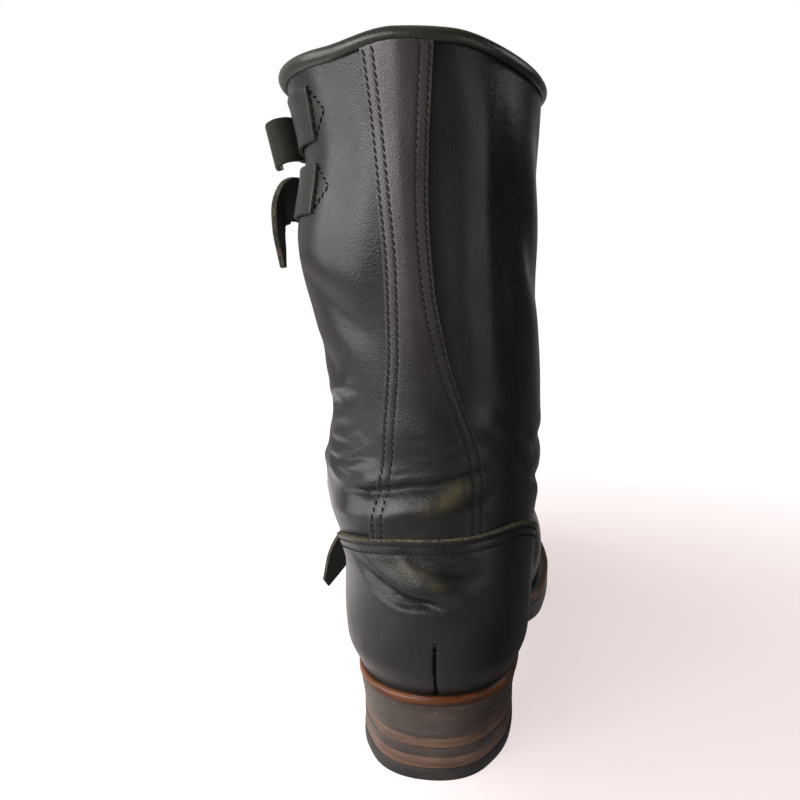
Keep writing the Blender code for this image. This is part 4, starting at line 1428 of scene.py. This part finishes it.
# %% Heel lifts
HEEL_POINTS = 150
Lift = namedtuple("Lift", "name node bottom top lip finish slot")
LIFTS = [
    Lift("top_lift", "heel_top_lift", 0.0, 5.15, 0.10, lift_rubber, "rubber"),
    Lift("brown_lift_lower", "heel_lift_lower", 5.2, 10.0, -0.08, lift_brown, "brown_lift"),
    Lift("dark_lift", "heel_lift_middle", 10.05, 14.0, 0.06, edge_dark, "edge_dye"),
    Lift("brown_lift_upper", "heel_lift_upper", 14.05, 18.2, -0.06, lift_brown, "brown_lift"),
    Lift("base_lift", "heel_base", 18.25, None, 0.05, edge_dark, "edge_dye"),
]


def heel_outline(height, lip):
    """Outline of the heel at a height, from one breast corner round the back to the other."""
    loop = trimmed(height, lip)[:-1, :2]
    run = np.roll(loop, len(loop) // 2, axis=0)
    corners = []
    for a, b in zip(run[:-1], run[1:]):
        if (a[1] - BREAST) * (b[1] - BREAST) < 0:
            corners.append(a + (b - a) * (BREAST - a[1]) / (b[1] - a[1]))
    line = np.vstack([corners[:1], run[run[:, 1] < BREAST], corners[-1:]])
    length = lengths_along(line)
    return columns_at(np.linspace(0, length[-1], HEEL_POINTS), length, line)


def make_lift(lift):
    rows = []
    for height in (lift.bottom, lift.top):
        nominal = seat(HEEL_CENTRE) - SOLE_DROP if height is None else height
        outline = heel_outline(nominal, lift.lip)
        level = seat(outline[:, 1]) - SOLE_DROP if height is None else np.full(len(outline), height)
        loop = np.column_stack([outline, level])
        rows.append(np.vstack([loop, loop[:1]]))
    builder = sheet(np.array(rows))
    bmesh.ops.holes_fill(builder, edges=[edge for edge in builder.edges if edge.is_boundary])
    bmesh.ops.recalc_face_normals(builder, faces=builder.faces)
    piece = add_piece(lift.name, builder, lift.finish)
    soften(piece, LIFT_ROUND)
    finish_piece(piece, lift.slot, lift.node)


for heel_lift in LIFTS:
    make_lift(heel_lift)

# %% Insole
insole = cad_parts["insole"]
insole.data.materials.clear()
insole.data.materials.append(insole_finish.material)
print("insole keeps its packed shape")

# %% [markdown]
# ## Stitches
# A stitch is a short bead of waxed thread that leans a little across its seam and dips into the leather at
# both ends. One stretched sphere per stitch is enough, laid end to end along lines on the leather and joined
# into one mesh per seam.

# %% Helpers for seams
STITCH_PITCH = 2.8
STITCH_LENGTH = 3.0
STITCH_WIDTH = 0.95
STITCH_HEIGHT = 0.7
STITCH_SLANT = 0.28
SEAM_STEPS = 240
SHORT_SEAM_STEPS = 24
SEAM_SUNK = GROOVE * 0.6


def lay_stitches(builder, line, normals, pitch=STITCH_PITCH, scale=1.0):
    """Adds stitches along a line of points in millimetres."""
    length = lengths_along(line)
    count = max(int(length[-1] / pitch), 1)
    marks = (np.arange(count) + 0.5) * length[-1] / count
    place = columns_at(marks, length, line)
    ahead = columns_at(marks, length, np.gradient(line, axis=0))
    up = columns_at(marks, length, normals)
    for point, forward, normal in zip(to_frame(place), ahead, up):
        normal = unit(normal)
        side = unit(np.cross(normal, forward))
        forward = unit(np.cross(side, normal)) + side * STITCH_SLANT
        axes = Matrix.Identity(4)
        sizes = (STITCH_WIDTH * scale, STITCH_HEIGHT * scale, STITCH_LENGTH * scale)
        for column, (axis, size) in enumerate(zip((side, normal, unit(forward)), sizes)):
            axes.col[column][:3] = axis * size / 2 * MM
        axes.translation = Vector(point)
        bmesh.ops.create_uvsphere(builder, u_segments=7, v_segments=5, radius=1.0, matrix=axes)
    return count


def seam_piece(name, lines, yarn, pitch=STITCH_PITCH, scale=1.0):
    """One mesh of stitches along lines of points that already lie on the leather."""
    builder = bmesh.new()
    count = 0
    for line in lines:
        count += lay_stitches(builder, line, outward(line), pitch, scale)
    bmesh.ops.recalc_face_normals(builder, faces=builder.faces)
    piece = add_piece(name, builder, yarn)
    finish_piece(piece, "black_leather")
    print(name, count, "stitches")


# %% Seams of strip and counter
STRIP_SEAM_END = 0.004
COUNTER_SEAM_END = 3.0


def strip_seam(side, inset):
    """Line beside the outer (side 0) or inner (side 1) edge of the strip."""
    share = np.linspace(STRIP_SEAM_END, 1 - STRIP_SEAM_END, SEAM_STEPS)
    x = strip_sides(share)[side] + (-inset if side else inset)
    points = strip_place(share, x, STRIP_TOP - SEAM_SUNK)
    return settle(points) + outward(points) * strip_ridge(share, x)[:, None]


def counter_seam(drop):
    first = COUNTER_EDGE[0].angle + COUNTER_SEAM_END
    angle = np.linspace(first, COUNTER_EDGE[-1].angle - COUNTER_SEAM_END, SEAM_STEPS)
    top = counter_edge(angle)
    path = plan_rays(np.radians(angle), COUNTER_AXIS, lambda x, y: top - drop)
    return settle(meet(path, len(angle), OVERLAY_TOP - SEAM_SUNK))


strip_lines = [strip_seam(side, inset) for side in (0, 1) for inset in STRIP_STITCHES]
seam_piece("back_strip_stitches", strip_lines, black_thread)
seam_piece("counter_stitches", [counter_seam(drop) for drop in COUNTER_STITCHES], black_thread)

# %% Seams of tabs, quarters and dart
TAB_SEAM_HALF = 8.6
TAB_SEAM_BAR = -35.6
TAB_SEAM_TIP = -28.0
TAB_SEAM_LEVEL = 0.1
TAB_SEAM_PITCH = 2.6
TAB_SEAM_SCALE = 0.85
STRAP_BARS = (-147.0, -143.5)
STRAP_BAR_HALF = 8.0
VAMP_SEAM_ROWS = (1.6, 4.8)
VAMP_SEAM_LEVEL = 0.05
VAMP_SEAM_REACH = (160.0, 160.0)
DART_STEPS = 40
# SLIT_SIDES, SLIT_SUNK and SLIT_WALL place the near-black sheet of painted shade in the dart's groove.
SLIT_SIDES = (0.5, -0.5)
SLIT_SUNK = 0.35
SLIT_WALL = 0.3
SLIT_SEAM_SUNK = 0.5
TACK_SIDES = (-0.7, 0.0, 0.7)
TACK_ABOVE = 1.5
TACK_BELOW = 3.5
TACK_SUNK = 0.15
DART_STITCH_PITCH = 1.7
DART_STITCH_SCALE = 0.6


def tab_seam(route):
    corners = [(TAB_SEAM_BAR, TAB_SEAM_HALF), (TAB_SEAM_TIP, 0.0), (TAB_SEAM_BAR, -TAB_SEAM_HALF)]
    corners.append(corners[0])
    lines = []
    for (angle_a, rise_a), (angle_b, rise_b) in zip(corners[:-1], corners[1:]):
        share = np.linspace(0, 1, SHORT_SEAM_STEPS)
        angle = angle_a + (angle_b - angle_a) * share
        rise = rise_a + (rise_b - rise_a) * share
        lines.append(settle(shaft_wrap(route, angle, rise, TAB_SEAM_LEVEL)))
    return lines


def strap_bar(route, angle):
    """Row of stitches across the sewn end of a shaft strap."""
    rise = np.linspace(-STRAP_BAR_HALF, STRAP_BAR_HALF, SHORT_SEAM_STEPS)
    return settle(shaft_wrap(route, np.full(SHORT_SEAM_STEPS, angle), rise, STRAP_REST + STRAP - 0.05))


def vamp_seam_line(above, side):
    angle = side * np.linspace(VAMP_SEAM_START + VAMP_SEAM_FADE, 180, SEAM_STEPS)
    path = plan_rays(np.radians(angle), FOLD_AXIS, lambda x, y: vamp_seam(angle) + above, VAMP_SEAM_REACH)
    return settle(meet(path, len(angle), VAMP_SEAM_LEVEL))


def dart_line(side, top, low, sunk):
    """Upright line beside the dart."""
    height = np.linspace(top, low, DART_STEPS)

    def path(t):
        return np.full(DART_STEPS, DART_X + side), COUNTER_AXIS[1] - SEARCH_REACH * t, height

    return settle(meet(path, DART_STEPS, OVERLAY_TOP - sunk))


def make_dart_slit():
    """Near-black sheet sunk in the dart's groove: painted shade where its two sides meet."""
    rows = np.array([dart_line(side, DART_TOP, DART_LOW, SLIT_SUNK) for side in SLIT_SIDES])
    piece = add_piece("dart_slit_shade", sheet(rows), black_thread_and_slit_shade)
    thicken(piece, SLIT_WALL)
    finish_piece(piece, "black_leather")


tab_lines = [line for route in SHAFT_STRAPS for line in tab_seam(route)]
seam_piece("tab_stitches", tab_lines, black_thread_and_slit_shade, TAB_SEAM_PITCH, TAB_SEAM_SCALE)
bar_lines = [strap_bar(route, angle) for route in SHAFT_STRAPS for angle in STRAP_BARS]
seam_piece("strap_stitches", bar_lines, black_thread, TAB_SEAM_PITCH, TAB_SEAM_SCALE)
quarter_lines = [vamp_seam_line(above, side) for above in VAMP_SEAM_ROWS for side in (1, -1)]
seam_piece("quarter_stitches", quarter_lines, black_thread)
make_dart_slit()
tack_run = (DART_TOP + TACK_ABOVE, DART_TOP - TACK_BELOW, TACK_SUNK)
dart_lines = [dart_line(side, *tack_run) for side in TACK_SIDES]
dart_lines.append(dart_line(0.0, DART_TOP - 3, DART_LOW + 1, SLIT_SEAM_SUNK))
seam_piece("dart_stitches", dart_lines, black_thread_and_slit_shade, DART_STITCH_PITCH, DART_STITCH_SCALE)

# %% Welt stitches
WELT_STITCH_PITCH = 4.2
WELT_STITCH_FROM = 92.0
WELT_STITCH_SCALE = 1.2
WELT_STITCH_PLACE = WeltPoint(0.62, 0.35, 0.62)


def welt_seam():
    run = welt_loop(WELT_STITCH_PLACE)[:-1]
    return run[run[:, 1] > WELT_STITCH_FROM]


welt_line = welt_seam()
builder = bmesh.new()
upright = np.tile([0.0, 0.0, 1.0], (len(welt_line), 1))
lay_stitches(builder, welt_line, upright, WELT_STITCH_PITCH, WELT_STITCH_SCALE)
bmesh.ops.recalc_face_normals(builder, faces=builder.faces)
finish_piece(add_piece("welt_stitches", builder, welt_thread), "welt_leather")

# %% [markdown]
# ## Floor, light and camera
# The boot stands on a pale floor against a white wall of light. The room behind the camera is dim, so the
# polished leather stays black where it faces the camera, and shows a broad sheen where it turns to the
# window on the left and a thin rim where it turns to the wall ahead. Floor and wall look brighter to the
# camera than in the leather, and part of the right side is dark in the leather alone. The floor glows, and
# its colours are painted light: a painted shadow beside the boot on the right, and in the leather a painted
# reflection with a patch of painted shade.

# %% Floor
FLOOR_HALF = 6.0
# The floor glows. To the camera it shows a pinkish painted shadow near the boot on its right, fading to white
# further off and on the left.
GLOW_START = 0.16
GLOW_FULL = 0.75
GLOW_LEFT = (-0.09, 0.06)
FLOOR_PAINTED_SHADOW = (0.69, 0.60, 0.60, 1)
# Glow of the floor as the leather mirrors it, a painted reflection; FLOOR_FAR is dim painted shade far off.
FLOOR_MIRRORED = (0.60, 0.56, 0.55, 1)
FLOOR_FAR = (0.16, 0.15, 0.145, 1)
MIRROR_FADE = (0.12, 0.32)
LEFT_FADE = (0.30, 0.70)
MIRROR_LEFT = (-0.30, -0.06)
FLOOR_LEFT = (1.60, 1.57, 1.55, 1)
REFLECTED_PAINTED_SHADE = (0.05, 0.05, 0.05, 1)
REFLECTED_SHADE_PLACE = (0.16, 0.05, 0.0)
REFLECTED_SHADE_EDGE = (0.10, 0.24)
FLOOR_DUSTY = (0.29, 0.262, 0.262, 1)
FLOOR_CLEAN = (0.32, 0.29, 0.29, 1)
FLOOR_WHITE = (0.97, 0.965, 0.965, 1)


def make_floor():
    """Pale glowing sheet that runs on into white past a painted shadow; its painted shade shows only in the
    leather.
    """
    finish = Finish("pale_floor", {"Specular IOR Level": 0.1, "Roughness": 0.75, "Emission Strength": 1.0})
    seen = finish.node("ShaderNodeLightPath", {}, {}, "Is Camera Ray")
    # Painted shade that only the leather mirrors: a patch on the floor to the right, and the dark quarter.
    patch = finish.vector("DISTANCE", finish.place, REFLECTED_SHADE_PLACE, output="Value")
    shaded = finish.shaded(finish.place).larger(1 - finish.window(patch, *REFLECTED_SHADE_EDGE))
    away = finish.vector("LENGTH", finish.place, output="Value")
    across = finish.axis(finish.place, "X")
    white = finish.window(away, GLOW_START, GLOW_FULL).larger(1 - finish.window(across, *GLOW_LEFT))
    pale = finish.mix(finish.noise(300, 2), FLOOR_DUSTY, FLOOR_CLEAN)
    finish.feed("Base Color", finish.mix(seen, finish.mix(shaded, pale, REFLECTED_PAINTED_SHADE), pale))
    # Seen by the camera: a pinkish painted shadow near the boot on the right, white further off.
    shown = finish.mix(white, FLOOR_PAINTED_SHADOW, FLOOR_WHITE)
    # Seen only in the leather: the floor's glow as a painted reflection, brightest on the left, dim far off.
    left = finish.mix(finish.window(away, *LEFT_FADE), FLOOR_LEFT, FLOOR_FAR)
    right = finish.mix(finish.window(away, *MIRROR_FADE), FLOOR_MIRRORED, FLOOR_FAR)
    mirrored = finish.mix(finish.window(across, *MIRROR_LEFT), left, right)
    finish.feed("Emission Color", finish.mix(seen, finish.mix(shaded, mirrored, REFLECTED_PAINTED_SHADE), shown))
    builder = bmesh.new()
    bmesh.ops.create_grid(builder, x_segments=1, y_segments=1, size=FLOOR_HALF)
    floor = add_piece("studio_floor", builder, finish)


make_floor()

# %% Room and lamps
WALL_LIGHT = (1.0, 1.0, 1.0, 1)
WALL_MIRRORED = (0.45, 0.45, 0.44, 1)
ROOM_LIGHT = (0.31, 0.285, 0.29, 1)
ROOM_RIGHT = (0.50, 0.47, 0.46, 1)
SHADE = (0.03, 0.03, 0.03, 1)
RIGHT_EDGE = (0.5, 0.85)
WALL_EDGE = (0.0, 0.45)
ABOVE_RIGHT_ACROSS = (-0.05, 0.40)
ABOVE_RIGHT_HEIGHT = (0.08, 0.38)

Lamp = namedtuple("Lamp", "name place target width height energy colour")
LAMPS = [
    Lamp("window", (-1.35, -0.62, 0.64), (0.0, 0.0, 0.20), 1.7, 1.3, 34.0, (0.97, 1.0, 0.96)),
    Lamp("overhead", (-0.62, -1.1, 0.68), (0.0, 0.0, 0.12), 0.9, 0.7, 15.0, (1.0, 0.97, 0.98)),
    Lamp("side", (1.35, -0.55, 0.50), (0.0, 0.0, 0.15), 0.7, 1.0, 2.6, (1.0, 0.98, 0.96)),
    Lamp("fill", (1.5, 0.95, 1.15), (0.0, 0.05, 0.12), 0.8, 0.8, 4.0, (1.0, 0.98, 0.96)),
]


def make_room():
    """Surrounding light: pale wall ahead, dim room behind, shade ahead and above on the right."""
    world = bpy.data.worlds.new("studio_room")
    room = Nodes(world, "Background", {"Strength": 1.0})
    way = room.node("ShaderNodeTexCoord", {}, {}, "Generated")
    across, ahead, height = (room.axis(way, name) for name in "XYZ")
    behind = room.mix(room.window(across, *RIGHT_EDGE), ROOM_LIGHT, ROOM_RIGHT)
    open_side = room.mix(room.window(ahead, *WALL_EDGE), behind, WALL_MIRRORED)
    above_right = room.window(across, *ABOVE_RIGHT_ACROSS) * room.window(height, *ABOVE_RIGHT_HEIGHT)
    around_boot = room.mix(room.shaded(way), open_side, SHADE)
    around_boot = room.mix(above_right, around_boot, SHADE)
    seen = room.node("ShaderNodeLightPath", {}, {}, "Is Camera Ray")
    room.feed("Color", room.mix(seen, around_boot, WALL_LIGHT))
    bpy.context.scene.world = world


def make_lamp(lamp):
    light = bpy.data.lights.new(lamp.name, "AREA")
    light.shape = "RECTANGLE"
    light.size = lamp.width
    light.size_y = lamp.height
    light.energy = lamp.energy
    light.color = lamp.colour
    holder = bpy.data.objects.new(lamp.name, light)
    holder.location = lamp.place
    aim = Vector(lamp.target) - Vector(lamp.place)
    holder.rotation_euler = aim.to_track_quat("-Z", "Y").to_euler()
    holder.visible_camera = False
    bpy.context.scene.collection.objects.link(holder)


make_room()
for studio_lamp in LAMPS:
    make_lamp(studio_lamp)
bpy.context.scene.view_settings.view_transform = "Standard"
print("lamps:", [lamp.name for lamp in LAMPS])

# %% Camera
IMAGE = 800
FOCAL_PIXELS = 785
SENSOR = 36.0
CAMERA_PLACE = (0.0352, -0.330, 0.2046)
CAMERA_DOWN = 9.0
CAMERA_PAN = 9.1

lens = bpy.data.cameras.new("camera")
lens.sensor_width = SENSOR
lens.lens = SENSOR * FOCAL_PIXELS / IMAGE
camera = bpy.data.objects.new("camera", lens)
camera.location = CAMERA_PLACE
camera.rotation_euler = (math.radians(90 - CAMERA_DOWN), 0.0, math.radians(CAMERA_PAN))
bpy.context.scene.collection.objects.link(camera)
bpy.context.scene.camera = camera
print("lens:", round(lens.lens, 2), "mm")
